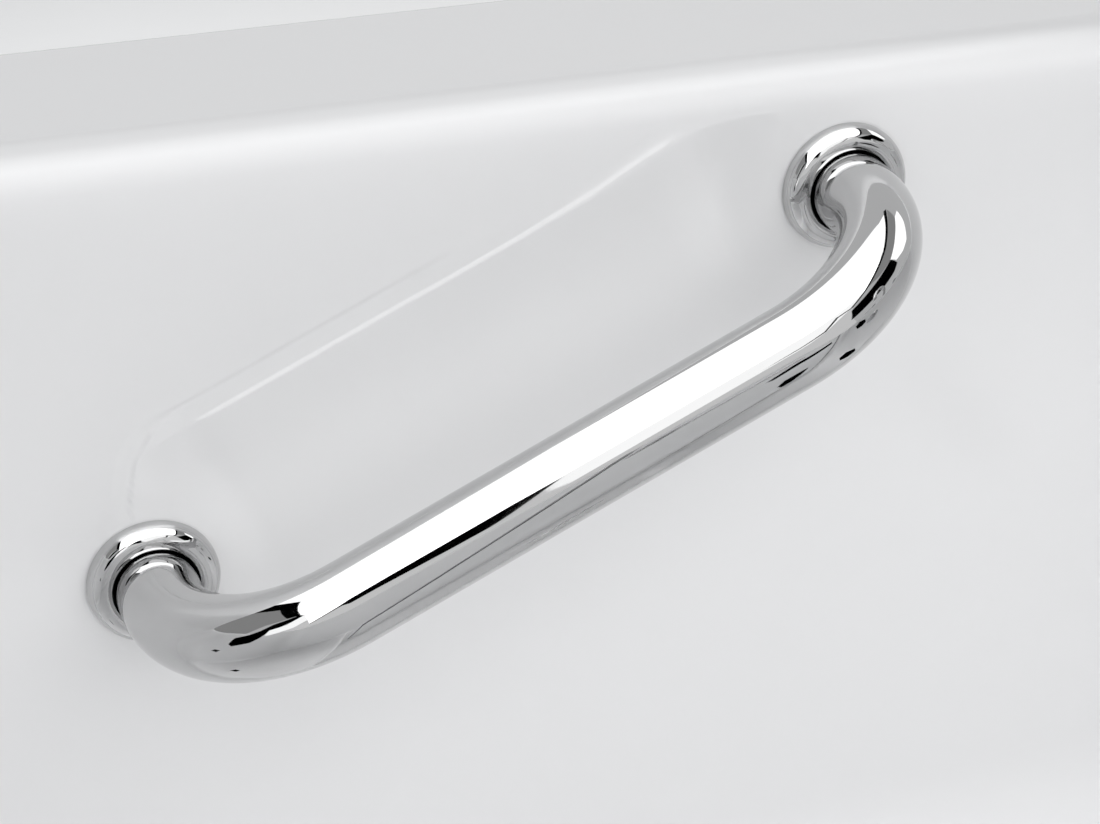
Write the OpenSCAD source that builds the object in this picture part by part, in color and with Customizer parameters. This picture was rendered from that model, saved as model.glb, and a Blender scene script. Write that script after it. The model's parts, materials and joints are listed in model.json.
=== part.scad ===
// Walk-in bathtub with an outward swinging side door, a moulded seat and an
// inclined safety grab bar under the rim of the rear wall.
// Frame: +X towards the tap end, +Y towards the rear wall, +Z up, millimetres.
// The origin is on the floor, under the middle of the whole object's box.

/* [Body] */
// Overall length, end panel to end panel
tub_l = 1320; // [1280:5:1400]
// Depth from the front panel's face to the rear edge of the deck
tub_w = 762; // [750:1:800]
// Height of the deck above the floor
tub_h = 965; // [955:1:1000]
// Thickness of the moulded shell
wall = 7; // [5:0.5:8]

/* [Basin] */
// Depth of the rear deck, behind the wall with the grab bar
rear_deck = 110; // [100:1:120]
// Thickness of the front wall, from the panel's face to the bathing side
front_wall = 71; // [71:1:75]
// Length of the deck behind the bather's back
seat_end_deck = 112; // [100:1:130]
// Length of the deck that carries the taps
tap_deck = 232; // [200:1:240]
// Height of the seat above the floor
seat_z = 530; // [500:1:540]
// Height of the foot well's bottom above the floor
floor_z = 100; // [98:1:104]
// Position of the seat's front edge along the tub
seat_front = -100; // [-140:1:-95]
// Radius of the basin's upright corners behind the bather
well_r = 90; // [60:1:110]
// Radius of the basin's upright corners at the tap end
well_r2 = 55; // [45:1:57]
// Radius of the foot well's upright corners under the seat's front edge
step_r = 35; // [25:1:50]

/* [Door] */
// Left side of the door opening in the front panel
open_x0 = -52; // [-60:1:-45]
// Width of the door opening in the front panel
open_w = 444; // [430:1:450]
// Height of the threshold above the floor
open_z0 = 180; // [170:1:200]
// Width of the step that the seal closes on
rabbet = 30; // [28:1:34]
// Gap between the door and its frame
door_gap = 4; // [3:0.5:5]
// Radius of the door's lower corners
door_r = 60; // [45:1:70]

/* [Grab bar] */
// Distance between the two fixings
bar_l = 305; // [280:1:330]
// Outside diameter of the tube
bar_d = 32; // [25:0.5:35]
// Distance from the wall to the tube's centre line
bar_h = 80; // [70:1:90]
// Centre line radius of the two bends
bar_r = 62; // [50:1:65]
// Rise of the bar towards the taps, in degrees
bar_tilt = 24; // [10:1:30]
// Position of the lower fixing along the tub
bar_x = -190; // [-230:1:-150]
// Distance of the lower fixing below the deck
bar_drop = 176; // [160:1:190]
// Radius of the fixing covers
cover_r = 25.5; // [22:0.5:32]

/* [Taps] */
// Height of the spout's riser above the deck
riser = 75; // [40:1:110]
// Radius of the spout's arch
arch_r = 80; // [70:1:90]
// Distance between the spout and each tap
tap_pitch = 105; // [90:1:120]

/* [Hidden] */
$fn = 64;

hinge_r = 8;
hl = tub_l / 2;
yb = (tub_w + 2 * hinge_r) / 2;   // rear edge of the deck
yf = yb - tub_w;                  // face of the front panel
wx0 = -hl + seat_end_deck;        // basin, bather's back
wx1 = hl - tap_deck;              // basin, tap end
wy0 = yf + front_wall;            // basin, door side
wy1 = yb - rear_deck;             // basin, wall with the grab bar
yc = (wy0 + wy1) / 2;             // middle of the basin
deck_t = 8;
pad_t = 4;                        // extra thickness of the wall behind the bar
lip = 40;                         // height of the deck's turned-down edge
panel_z0 = 60;                    // bottom edge of the panels
open_x1 = open_x0 + open_w;
rab_y = yf + 35;                  // face that the seal closes on
slab_y = yf + 30;                 // back of the door's outer panel
hinge_x = open_x1 - 2;
hinge_y = yf - hinge_r;
latch_x = open_x0 + 72;
latch_z = tub_h - 65;
frame_t = 7;                      // thickness of the door frame's walls
sq = 30;                          // side of the frame's square tube
rail_z = 45;                      // underside of the long rails
bar_z = tub_h - bar_drop;
tap_x = hl - 112;
drain_x = 330;
waste_x = wx1 + 52;               // centre of the upright waste pipe
waste_z = 50;                     // centre of the flat waste pipe
over_z = tub_h - 115;             // centre of the overflow
hinge_zs = [open_z0 + 110, (open_z0 + tub_h) / 2, tub_h - 130];
screw_xs = [-524, -166];
screw_zs = [146, 464];
feet = [[-hl + 35, yf + 38], [hl - 35, yf + 38], [-hl + 35, yb - 34], [hl - 35, yb - 34]];

// ---------- outlines ----------
function arc(x, y, r, a0, a1, n = 8) = [for (i = [0:n]) let (a = a0 + (a1 - a0) * i / n) [x + r * cos(a), y + r * sin(a)]];
// rectangle with one radius at its low X end and another at its high X end
function rr(x0, y0, x1, y1, ra, rb, n = 8) = concat(
    arc(x1 - rb, y1 - rb, rb, 0, 90, n), arc(x0 + ra, y1 - ra, ra, 90, 180, n),
    arc(x0 + ra, y0 + ra, ra, 180, 270, n), arc(x1 - rb, y0 + rb, rb, 270, 360, n));
// upright rectangle with round lower corners
function ub(x0, z0, x1, z1, r, n = 8) = concat([[x1, z1], [x0, z1]],
    arc(x0 + r, z0 + r, r, 180, 270, n), arc(x1 - r, z0 + r, r, 270, 360, n));
// the door opening in the panel (g 0), grown by g, and the narrower one on the bathing side
function outer_open(g, top) = ub(open_x0 - g, open_z0 - g, open_x1 + g, top, door_r + g);
function inner_open(g, top) = ub(open_x0 + rabbet - g, open_z0 + rabbet - g, open_x1 - rabbet + g, top, door_r - rabbet + g);

module rbox(x0, y0, x1, y1, ra, rb, z0, z1) {
    translate([0, 0, z0]) linear_extrude(z1 - z0) polygon(rr(x0, y0, x1, y1, ra, rb));
}
module yplate(pts, y0, y1) {
    translate([0, y1, 0]) rotate([90, 0, 0]) linear_extrude(y1 - y0) polygon(pts);
}
module box3(a, b) { translate(a) cube([b[0] - a[0], b[1] - a[1], b[2] - a[2]]); }
module ycyl(x, z, r, y0, y1) { translate([x, y1, z]) rotate([90, 0, 0]) cylinder(r = r, h = y1 - y0); }
module xcyl(y, z, r, x0, x1) { translate([x0, y, z]) rotate([0, 90, 0]) cylinder(r = r, h = x1 - x0); }
module zcyl(x, y, r, z0, z1) { translate([x, y, z0]) cylinder(r = r, h = z1 - z0); }
// the grab bar's own frame: x along the bar, y up the wall, z out of the wall
module on_wall() { translate([bar_x, wy1, bar_z]) rotate([0, -bar_tilt, 0]) rotate([90, 0, 0]) children(); }
// square steel tube along an axis (0 X, 1 Y, 2 Z)
module tube_box(a, b, ax) {
    t = 2;
    difference() {
        box3(a, b);
        translate([ax == 0 ? a[0] - 1 : a[0] + t, ax == 1 ? a[1] - 1 : a[1] + t, ax == 2 ? a[2] - 1 : a[2] + t])
            cube([b[0] - a[0] + (ax == 0 ? 2 : -2 * t), b[1] - a[1] + (ax == 1 ? 2 : -2 * t), b[2] - a[2] + (ax == 2 ? 2 : -2 * t)]);
    }
}

// ---------- shell and panels ----------
module tub_shell() {
    color("white") difference() {
        union() {
            rbox(-hl, yf, hl, yb, 22, 22, tub_h - deck_t, tub_h);
            difference() {
                rbox(-hl, yf, hl, yb, 22, 22, tub_h - lip, tub_h - deck_t + 1);
                rbox(-hl + 6, yf + 6, hl - 6, yb - 6, 16, 16, tub_h - lip - 1, tub_h - deck_t + 2);
            }
            rbox(wx0 - wall, wy0 - wall, wx1 + wall, wy1 + wall, well_r + wall, well_r2 + wall, seat_z - wall, tub_h - 1);
            rbox(seat_front - wall, wy0 - wall, wx1 + wall, wy1 + wall, step_r + wall, well_r2 + wall, floor_z - wall, seat_z);
            // thicker pad behind the finger clearance
            intersection() {
                on_wall() translate([0, 0, -wall - pad_t]) linear_extrude(pad_t + 1) polygon(rr(-35, -68, bar_l + 35, 68, 58, 58));
                box3([-hl + 10, wy1, seat_z], [hl - 10, yb - 10, tub_h - 2]);
            }
        }
        rbox(wx0, wy0, wx1, wy1, well_r, well_r2, seat_z, tub_h + 1);
        rbox(seat_front, wy0, wx1, wy1, step_r, well_r2, floor_z, seat_z + 1);
        // shallow finger clearance behind the bar, deepest above the middle and fading out downwards
        intersection() {
            on_wall() difference() {
                intersection() {
                    translate([0, 0, -6]) linear_extrude(8) polygon(rr(-2, -70, bar_l + 2, 50, 45, 45));
                    translate([-5, 0, 0]) rotate([90, 0, 90]) linear_extrude(bar_l + 10) polygon([[-62, 3], [-62, 0], [10, -3.5], [51, -1.2], [51, 3]]);
                }
                for (u = [0, bar_l]) translate([u, 0, -8]) cylinder(r = 29, h = 12);
            }
            box3([-hl, wy1 - 4, seat_z], [hl, yb, tub_h - 14]);
        }
        on_wall() for (u = [0, bar_l]) translate([u, 0, -30]) cylinder(r = 5.5, h = 40);
        // door opening
        yplate(inner_open(frame_t, tub_h + 5), rab_y - 1, wy0 + 30);
        yplate(outer_open(frame_t, tub_h + 5), yf - 5, rab_y + frame_t);
        // taps, spout, overflow and drain
        for (k = [-1, 0, 1]) zcyl(tap_x, yc + k * tap_pitch, 16, tub_h - 20, tub_h + 5);
        xcyl(yc, over_z, 26, wx1 - 5, wx1 + 20);
        zcyl(drain_x, yc, 23, floor_z - 20, floor_z + 5);
    }
}

module door_frame() {
    color("silver") difference() {
        union() {
            difference() {
                yplate(outer_open(frame_t, tub_h), yf, rab_y + frame_t);
                yplate(outer_open(0, tub_h + 5), yf - 1, rab_y);
            }
            yplate(inner_open(frame_t, tub_h), rab_y, wy0);
        }
        yplate(inner_open(0, tub_h + 5), rab_y - 1, wy0 + 1);
        // slot that the latch tongue enters
        box3([open_x0 - frame_t - 1, yf + 8, latch_z - 62], [open_x0 + 1, yf + 20, latch_z + 11]);
    }
}

module front_apron() {
    color("whitesmoke") difference() {
        union() {
            box3([-hl + 5.5, yf, panel_z0], [hl - 5.5, yf + 5, tub_h - lip - 1]);
            box3([-hl + 5.5, yf + 4, panel_z0], [hl - 5.5, yf + 20, panel_z0 + 5]);
            // ledge that the access panel is screwed to
            yplate(rr(-552, 118, -138, 492, 14, 14), yf + 4, yf + 9);
        }
        yplate(outer_open(frame_t + 0.5, tub_h), yf - 1, yf + 30);
        yplate(rr(-540, 130, -150, 480, 12, 12), yf - 1, yf + 5);
        yplate(rr(-508, 162, -182, 448, 8, 8), yf + 3, yf + 12);
        for (x = screw_xs, z = screw_zs) ycyl(x, z, 2.5, yf + 4, yf + 12);
    }
}

module access_panel() {
    color("white") difference() {
        union() {
            yplate(rr(-538, 132, -152, 478, 10, 10), yf, yf + 5);
            // stiffening rib on the back
            yplate(rr(-506, 164, -184, 446, 6, 6), yf + 4, yf + 9);
        }
        yplate(rr(-500, 170, -190, 440, 4, 4), yf + 5, yf + 12);
        for (x = screw_xs, z = screw_zs) {
            ycyl(x, z, 2.6, yf - 1, yf + 12);
            ycyl(x, z, 5.2, yf - 1, yf + 2.2);
        }
    }
}

module access_panel_screws() {
    color("silver") for (x = screw_xs, z = screw_zs) difference() {
        union() {
            ycyl(x, z, 5, yf + 0.2, yf + 2.2);
            ycyl(x, z, 2.5, yf + 2, yf + 16);
        }
        translate([x, yf + 0.2, z]) cube([1.4, 2, 6], center = true);
        translate([x, yf + 0.2, z]) cube([6, 2, 1.4], center = true);
    }
}

module end_panel(s) {
    x0 = s > 0 ? hl - 5 : -hl;
    xi = s > 0 ? hl - 20 : -hl + 4;
    box3([x0, yf, panel_z0], [x0 + 5, yb - 2, tub_h - lip - 1]);
    box3([xi, yf + 22, panel_z0], [xi + 16, yb - 2, panel_z0 + 5]);
}
module left_end_panel() { color("whitesmoke") end_panel(-1); }
module right_end_panel() { color("whitesmoke") end_panel(1); }

// ---------- steel frame ----------
module frame_long_rails() {
    color("silver") for (y = [yf + 23, yb - 49])
        difference() {
            tube_box([-hl + 20, y, rail_z], [hl - 20, y + sq, rail_z + sq], 0);
            for (f = feet) zcyl(f[0], f[1], 6.5, rail_z - 5, rail_z + sq + 5);
        }
}
module frame_cross_rails() {
    color("silver") for (x = [-hl + 60, -545, -150, 140, 570])
        tube_box([x, yf + 23 + sq, rail_z], [x + sq, yb - 49, rail_z + sq], 1);
}
module frame_uprights() {
    color("silver") {
        for (x = [-hl + 60, 570], y = [yf + 23, yb - 49]) tube_box([x, y, rail_z + sq], [x + sq, y + sq, tub_h - deck_t], 2);
        tube_box([open_x0 - 7 - sq - 28, yf + 23, rail_z + sq], [open_x0 - 7 - 28, yf + 23 + sq, tub_h - deck_t], 2);
        tube_box([open_x1 + 7 + 6, yf + 23, rail_z + sq], [open_x1 + 7 + 6 + sq, yf + 23 + sq, tub_h - deck_t], 2);
        tube_box([40, yb - 49, rail_z + sq], [40 + sq, yb - 49 + sq, tub_h - deck_t], 2);
    }
}
module seat_frame() {
    z1 = seat_z - wall - 18;
    color("silver") for (x = [-545, -150]) {
        tube_box([x, wy0 + 10, z1 - sq], [x + sq, wy1 - 10, z1], 1);
        for (y = [wy0 + 10, wy1 - 10 - sq]) tube_box([x, y, rail_z + sq], [x + sq, y + sq, z1 - sq - 0.2], 2);
    }
}
module seat_board() {
    color("burlywood") rbox(wx0 + 4, wy0 + 5, seat_front - wall - 6, wy1 - 5, 70, 10, seat_z - wall - 18, seat_z - wall);
}
module floor_board() {
    color("burlywood") difference() {
        rbox(seat_front + 15, wy0 + 12, wx1 - 8, wy1 - 12, 30, 60, rail_z + sq, floor_z - wall);
        zcyl(drain_x, yc, 40, rail_z, floor_z);
    }
}
module foot(i) {
    color("dimgray") translate([feet[i][0], feet[i][1], 0]) {
        cylinder(r = 24, h = 5);
        translate([0, 0, 5]) cylinder(r1 = 24, r2 = 13, h = 7);
        translate([0, 0, 12]) cylinder(r = 11, h = 8, $fn = 6);
        translate([0, 0, 19]) cylinder(r = 6, h = 91);
    }
}
module foot_front_left() { foot(0); }
module foot_front_right() { foot(1); }
module foot_rear_left() { foot(2); }
module foot_rear_right() { foot(3); }
module foot_lock_nuts() {
    color("silver") for (f = feet, z = [rail_z + sq, rail_z - 9]) difference() {
        translate([f[0], f[1], z]) cylinder(r = 10.5, h = 9, $fn = 6);
        zcyl(f[0], f[1], 6.05, z - 5, z + 15);
    }
}

// ---------- grab bar ----------
module ring2(ro, ri) { difference() { circle(r = ro); circle(r = ri); } }
module grab_bar() {
    ro = bar_d / 2;
    ri = ro - 1.6;
    color("silver") on_wall() {
        for (u = [0, bar_l]) translate([u, 0, 1.5]) linear_extrude(bar_h - bar_r - 1.5) ring2(ro, ri);
        translate([bar_r, 0, bar_h - bar_r]) rotate([90, 0, 0]) rotate([0, 0, 90]) rotate_extrude(angle = 90) translate([bar_r, 0]) ring2(ro, ri);
        translate([bar_l - bar_r, 0, bar_h - bar_r]) rotate([90, 0, 0]) rotate_extrude(angle = 90) translate([bar_r, 0]) ring2(ro, ri);
        translate([bar_r, 0, bar_h]) rotate([0, 90, 0]) linear_extrude(bar_l - 2 * bar_r) ring2(ro, ri);
    }
}
// domed cover: thin foot at the wall, round shoulder, short lip round the tube
module bar_cover() {
    ri = bar_d / 2 + 0.5;
    w = cover_r - ri;
    rotate_extrude() polygon(concat(
        [[cover_r - 1.2, 0], [cover_r, 0], [cover_r, 1.2]],
        [for (i = [0:10]) let (a = i * 90 / 10) [cover_r - 0.4 - w * 0.62 + w * 0.62 * cos(a), 1.2 + 7.6 * sin(a)]],
        [[ri + 0.9, 8.2], [ri, 7.6], [ri, 6.4], [ri + 1.6, 6.2]],
        [for (i = [0:6]) let (a = 90 - i * 90 / 6) [cover_r - 1.6 - w * 0.52 + w * 0.40 * cos(a), 0.6 + 6 * sin(a)]]));
}
module grab_bar_covers() { color("silver") on_wall() for (u = [0, bar_l]) translate([u, 0, 0]) bar_cover(); }
module grab_bar_end_plugs() {
    color("gray") on_wall() for (u = [0, bar_l]) translate([u, 0, 1.5]) difference() {
        cylinder(r = bar_d / 2 - 1.6, h = 16);
        translate([0, 0, -1]) cylinder(r = 5.02, h = 20);
    }
}
module grab_bar_studs() {
    color("silver") on_wall() for (u = [0, bar_l]) translate([u, 0, -34]) cylinder(r = 5, h = 50);
}
module grab_bar_gaskets() {
    color("dimgray") on_wall() for (u = [0, bar_l]) translate([u, 0, 0]) difference() {
        cylinder(r = 18.5, h = 1.5);
        translate([0, 0, -1]) cylinder(r = 5.5, h = 4);
    }
}
module grab_bar_backing_plate() {
    color("silver") on_wall() difference() {
        translate([0, 0, -wall - pad_t - 4]) linear_extrude(4) polygon(rr(-30, -24, bar_l + 30, 24, 12, 12));
        for (u = [0, bar_l]) translate([u, 0, -20]) cylinder(r = 5.5, h = 12);
    }
}
module grab_bar_washers() {
    color("silver") on_wall() for (u = [0, bar_l]) translate([u, 0, -wall - pad_t - 6]) difference() {
        cylinder(r = 12.5, h = 2);
        translate([0, 0, -1]) cylinder(r = 5.5, h = 4);
    }
}
module grab_bar_nuts() {
    color("silver") on_wall() for (u = [0, bar_l]) translate([u, 0, -wall - pad_t - 14.5]) difference() {
        cylinder(r = 9.8, h = 8.5, $fn = 6);
        translate([0, 0, -1]) cylinder(r = 5.02, h = 12);
    }
}

// ---------- taps and spout ----------
module spout() {
    z = tub_h;
    color("silver") difference() {
        union() {
            zcyl(tap_x, yc, 28, z, z + 4);
            translate([tap_x, yc, z + 4]) cylinder(r1 = 27, r2 = 15, h = 8);
            zcyl(tap_x, yc, 13, z + 11, z + riser);
            translate([tap_x - arch_r, yc, z + riser]) rotate([90, 0, 0]) rotate_extrude(angle = 180) translate([arch_r, 0]) circle(r = 13);
            zcyl(tap_x - 2 * arch_r, yc, 13, z + riser - 14, z + riser);
            zcyl(tap_x, yc, 14, z - 60, z + 1);
        }
        zcyl(tap_x, yc, 9.5, z - 61, z + riser);
        translate([tap_x - arch_r, yc, z + riser]) rotate([90, 0, 0]) rotate_extrude(angle = 180) translate([arch_r, 0]) circle(r = 9.5);
        zcyl(tap_x - 2 * arch_r, yc, 9.5, z + riser - 15, z + riser);
        translate([tap_x, yc, z - 45]) rotate([90, 0, 0]) cylinder(r = 6.05, h = 60, center = true);
    }
}
module spout_aerator() {
    color("silver") difference() {
        union() {
            zcyl(tap_x - 2 * arch_r, yc, 14.5, tub_h + riser - 24, tub_h + riser - 14);
            zcyl(tap_x - 2 * arch_r, yc, 9.4, tub_h + riser - 15, tub_h + riser - 10);
        }
        for (a = [0:60:300], r = [0, 5]) zcyl(tap_x - 2 * arch_r + r * cos(a), yc + r * sin(a), 1.8, tub_h + riser - 30, tub_h + riser);
    }
}
module tap_bases() {
    color("silver") for (k = [-1, 1]) translate([tap_x, yc + k * tap_pitch, tub_h]) difference() {
        union() {
            cylinder(r = 28, h = 4);
            translate([0, 0, 4]) cylinder(r1 = 27, r2 = 18, h = 9);
        }
        translate([0, 0, -1]) cylinder(r = 15.05, h = 20);
    }
}
// lever: hub over the spindle, arm that points away from the spout
module tap_lever(k) {
    color("silver") translate([tap_x, yc + k * tap_pitch, tub_h + 13.4]) difference() {
        union() {
            cylinder(r = 17, h = 22);
            translate([0, 0, 22]) cylinder(r1 = 17, r2 = 12, h = 4);
            translate([0, 0, 15]) rotate([-90 * k, 0, 0]) cylinder(r1 = 7, r2 = 5.5, h = 82);
            translate([0, 82 * k, 15]) sphere(r = 7);
        }
        translate([0, 0, -1]) cylinder(r = 8.05, h = 18);
        translate([0, 0, 24.5]) cylinder(r = 8, h = 5);
    }
}
module hot_tap_lever() { tap_lever(-1); }
module cold_tap_lever() { tap_lever(1); }
module hot_index() { color("red") translate([tap_x, yc - tap_pitch, tub_h + 13.4 + 24.5]) cylinder(r = 7.9, h = 2); }
module cold_index() { color("blue") translate([tap_x, yc + tap_pitch, tub_h + 13.4 + 24.5]) cylinder(r = 7.9, h = 2); }
module valve(k) {
    color("goldenrod") translate([tap_x, yc + k * tap_pitch, tub_h]) difference() {
        union() {
            translate([0, 0, 12]) cylinder(r = 8, h = 18);
            translate([0, 0, -60]) cylinder(r = 15, h = 72.4);
            translate([0, 0, -78]) cylinder(r = 19, h = 19, $fn = 6);
            translate([0, 0, -100]) cylinder(r = 10.48, h = 23);
        }
        translate([0, -k * 9, -45]) rotate([90 * k, 0, 0]) cylinder(r = 6.05, h = 12);
        translate([0, 0, -101]) cylinder(r = 8, h = 60);
    }
}
module hot_valve() { valve(-1); }
module cold_valve() { valve(1); }
module deck_nuts() {
    color("goldenrod") for (k = [-1, 0, 1]) translate([tap_x, yc + k * tap_pitch, tub_h - deck_t - 10]) difference() {
        cylinder(r = 25, h = 9.8, $fn = 6);
        translate([0, 0, -1]) cylinder(r = k == 0 ? 14.05 : 15.05, h = 12);
    }
}
module tap_link_pipes() {
    color("peru") for (k = [-1, 1]) translate([tap_x, yc + k * tap_pitch / 2, tub_h - 45]) rotate([90, 0, 0]) difference() {
        cylinder(r = 6, h = tap_pitch - 22, center = true);
        cylinder(r = 5, h = tap_pitch, center = true);
    }
}

// ---------- overflow and waste ----------
module overflow_plate() {
    color("silver") difference() {
        union() {
            xcyl(yc, over_z, 38, wx1 - 4, wx1);
            translate([wx1 - 4, yc, over_z]) rotate([0, -90, 0]) cylinder(r1 = 37, r2 = 24, h = 5);
            xcyl(yc, over_z, 19.5, wx1 - 1, wx1 + 30);
        }
        xcyl(yc, over_z, 5.05, wx1 - 20, wx1 + 40);
        for (a = [210, 240, 270, 300, 330]) xcyl(yc + 14 * cos(a), over_z + 14 * sin(a), 2.5, wx1 - 20, wx1 + 40);
    }
}
module overflow_knob() {
    color("silver") difference() {
        union() {
            xcyl(yc, over_z, 19, wx1 - 27, wx1 - 9.4);
            xcyl(yc, over_z, 5, wx1 - 12, wx1 + 36);
        }
        for (a = [0:40:320]) xcyl(yc + 21 * cos(a), over_z + 21 * sin(a), 4.5, wx1 - 40, wx1 - 8);
    }
}
module overflow_elbow() {
    color("ivory") difference() {
        union() {
            xcyl(yc, over_z, 36, wx1 + wall, wx1 + wall + 5);
            xcyl(yc, over_z, 24, wx1 + wall, waste_x + 26);
            zcyl(waste_x, yc, 24, over_z - 62, over_z);
        }
        xcyl(yc, over_z, 20, wx1 - 5, waste_x + 22);
        zcyl(waste_x, yc, 20.05, over_z - 63, over_z);
    }
}
module overflow_pipe() {
    color("ivory") difference() {
        zcyl(waste_x, yc, 20, waste_z + 34, over_z - 30);
        zcyl(waste_x, yc, 17.5, waste_z + 20, over_z);
    }
}
module drain_tee() {
    color("ivory") difference() {
        union() {
            zcyl(waste_x, yc, 24, waste_z - 24.5, waste_z + 60);
            xcyl(yc, waste_z, 24, waste_x - 50, waste_x);
            zcyl(waste_x, yc, 19.05, 4, waste_z);
        }
        zcyl(waste_x, yc, 20.05, waste_z + 33, waste_z + 70);
        zcyl(waste_x, yc, 16, 3, waste_z + 40);
        xcyl(yc, waste_z, 20.05, waste_x - 51, waste_x - 26);
        xcyl(yc, waste_z, 16, waste_x - 52, waste_x);
    }
}
module drain_pipe() {
    color("ivory") difference() {
        xcyl(yc, waste_z, 20, drain_x + 20, waste_x - 27);
        xcyl(yc, waste_z, 17.5, drain_x, waste_x);
    }
}
module drain_shoe() {
    color("ivory") difference() {
        union() {
            zcyl(drain_x, yc, 28, waste_z - 24, floor_z - wall);
            xcyl(yc, waste_z, 24, drain_x, drain_x + 48);
        }
        zcyl(drain_x, yc, 22.05, waste_z - 20, floor_z);
        xcyl(yc, waste_z, 20.05, drain_x + 19.5, drain_x + 60);
        xcyl(yc, waste_z, 16, drain_x, drain_x + 60);
    }
}
module drain_flange() {
    color("silver") difference() {
        union() {
            zcyl(drain_x, yc, 35, floor_z, floor_z + 2);
            zcyl(drain_x, yc, 22, floor_z - 24, floor_z + 1);
        }
        difference() {
            zcyl(drain_x, yc, 19, floor_z - 30, floor_z + 5);
            zcyl(drain_x, yc, 8, floor_z - 22, floor_z - 10);
            translate([drain_x, yc, floor_z - 16]) cube([42, 3, 12], center = true);
            translate([drain_x, yc, floor_z - 16]) cube([3, 42, 12], center = true);
        }
        zcyl(drain_x, yc, 4.05, floor_z - 40, floor_z + 5);
        translate([0, 0, floor_z]) translate([drain_x, yc, -1]) cylinder(r1 = 19, r2 = 23, h = 4);
    }
}
module drain_stopper() {
    color("silver") {
        zcyl(drain_x, yc, 25, floor_z + 2.2, floor_z + 5);
        translate([drain_x, yc, floor_z + 5]) cylinder(r1 = 25, r2 = 18, h = 3);
        zcyl(drain_x, yc, 4, floor_z - 34, floor_z + 4);
    }
}
module drain_cable() {
    r = 1.5;
    color("gray") {
        xcyl(yc, over_z, r, wx1 + 36, waste_x - 12);
        translate([waste_x - 12, yc, over_z - 12]) rotate([90, 0, 0]) rotate_extrude(angle = 90) translate([12, 0]) circle(r = r);
        zcyl(waste_x, yc, r, waste_z + 14, over_z - 12);
        translate([waste_x - 14, yc, waste_z + 14]) rotate([-90, 0, 0]) rotate_extrude(angle = 90) translate([14, 0]) circle(r = r);
        xcyl(yc, waste_z, r, drain_x + 5, waste_x - 14);
    }
}

// ---------- door ----------
function door_out(g, top) = outer_open(-door_gap - g, top);
module door_outer_panel() {
    color("white") difference() {
        yplate(door_out(0, tub_h - 4), yf, slab_y);
        yplate(ub(open_x0 + door_gap + 4, open_z0 + door_gap + 4, open_x1 - door_gap - 4, tub_h - 8, door_r - 8), yf + 4, slab_y + 1);
        // slot for the tongue and hole for the spindle
        box3([open_x0 + 2, yf + 8, latch_z - 66], [open_x0 + door_gap + 6, yf + 20, latch_z + 11]);
        ycyl(latch_x, latch_z, 6.1, yf - 1, yf + 10);
    }
}
// plug outline seen from above: its sides lean in so that it clears the frame as it swings
module plug(g, ztop) {
    intersection() {
        translate([0, 0, open_z0]) linear_extrude(ztop - open_z0) polygon([
            [open_x0 + rabbet + 7 + g, rab_y - 5 - g * 2], [open_x1 - rabbet - 4 - g, rab_y - 5 - g * 2],
            [open_x1 - rabbet - 8 - g, wy0 - g], [open_x0 + rabbet + 11 + g, wy0 - g]]);
        yplate(inner_open(-4 - g, ztop), rab_y - 40, wy0 + 5);
    }
}
module door_inner_panel() {
    color("white") difference() {
        union() {
            yplate(door_out(4.3, tub_h - 8.3), slab_y - 4, slab_y);
            intersection() { plug(0, tub_h - 4); box3([-200, slab_y - 1, 0], [600, 600, 2000]); }
        }
        difference() { plug(4, tub_h - 8); box3([-200, yf, 0], [600, slab_y - 4.5, 2000]); }
        ycyl(latch_x, latch_z, 6.1, yf, wy0 + 5);
    }
}
// welded ring of flat steel bars inside the outer panel
module door_core() {
    x0 = open_x0 + door_gap + 4 + 36;
    x1 = open_x1 - door_gap - 5;
    z0 = open_z0 + 70;
    z1 = tub_h - 8 - 1;
    color("silver") difference() {
        union() {
            box3([x1 - 22, yf + 4.5, z0], [x1, slab_y - 4.5, z1]);
            box3([x0 + 10, yf + 4.5, z0], [x0 + 32, slab_y - 4.5, latch_z - 112]);
            box3([x0 + 31, yf + 4.5, z0], [x1 - 21, slab_y - 4.5, z0 + 22]);
            box3([x0 + 31, yf + 4.5, latch_z - 134], [x1 - 21, slab_y - 4.5, latch_z - 112]);
        }
    }
}
module door_seal() {
    color("dimgray") difference() {
        yplate(inner_open(22, tub_h - 6), slab_y, rab_y - 0.3);
        yplate(inner_open(4, tub_h + 5), slab_y - 1, rab_y + 1);
    }
}
hk = 20;   // length of each knuckle
module hinge_door_leaves() {
    color("silver") for (z = hinge_zs) difference() {
        union() {
            box3([hinge_x - 34, yf - 3, z - 30], [hinge_x - 8.4, yf, z + 30]);
            box3([hinge_x - 9, yf - 8, z - hk / 2 + 0.4], [hinge_x, yf - 1.4, z + hk / 2 - 0.4]);
            zcyl(hinge_x, hinge_y, hinge_r - 0.6, z - hk / 2 + 0.4, z + hk / 2 - 0.4);
        }
        zcyl(hinge_x, hinge_y, 4.05, z - 100, z + 100);
        for (dz = [-20, 20], dx = [-26, -13]) ycyl(hinge_x + dx, z + dz, 2.3, yf - 4, yf + 1);
    }
}
module hinge_frame_leaves() {
    color("silver") for (z = hinge_zs) difference() {
        union() {
            box3([hinge_x + 8.4, yf - 3, z - 30], [hinge_x + 34, yf, z + 30]);
            for (s = [-1, 1]) {
                box3([hinge_x, yf - 8, z + s * hk - hk / 2], [hinge_x + 9, yf - 1.4, z + s * hk + hk / 2]);
                zcyl(hinge_x, hinge_y, hinge_r - 0.6, z + s * hk - hk / 2, z + s * hk + hk / 2);
            }
        }
        zcyl(hinge_x, hinge_y, 4.02, z - 100, z + 100);
        for (dz = [-20, 20], dx = [13, 26]) ycyl(hinge_x + dx, z + dz, 2.3, yf - 4, yf + 1);
    }
}
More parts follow.
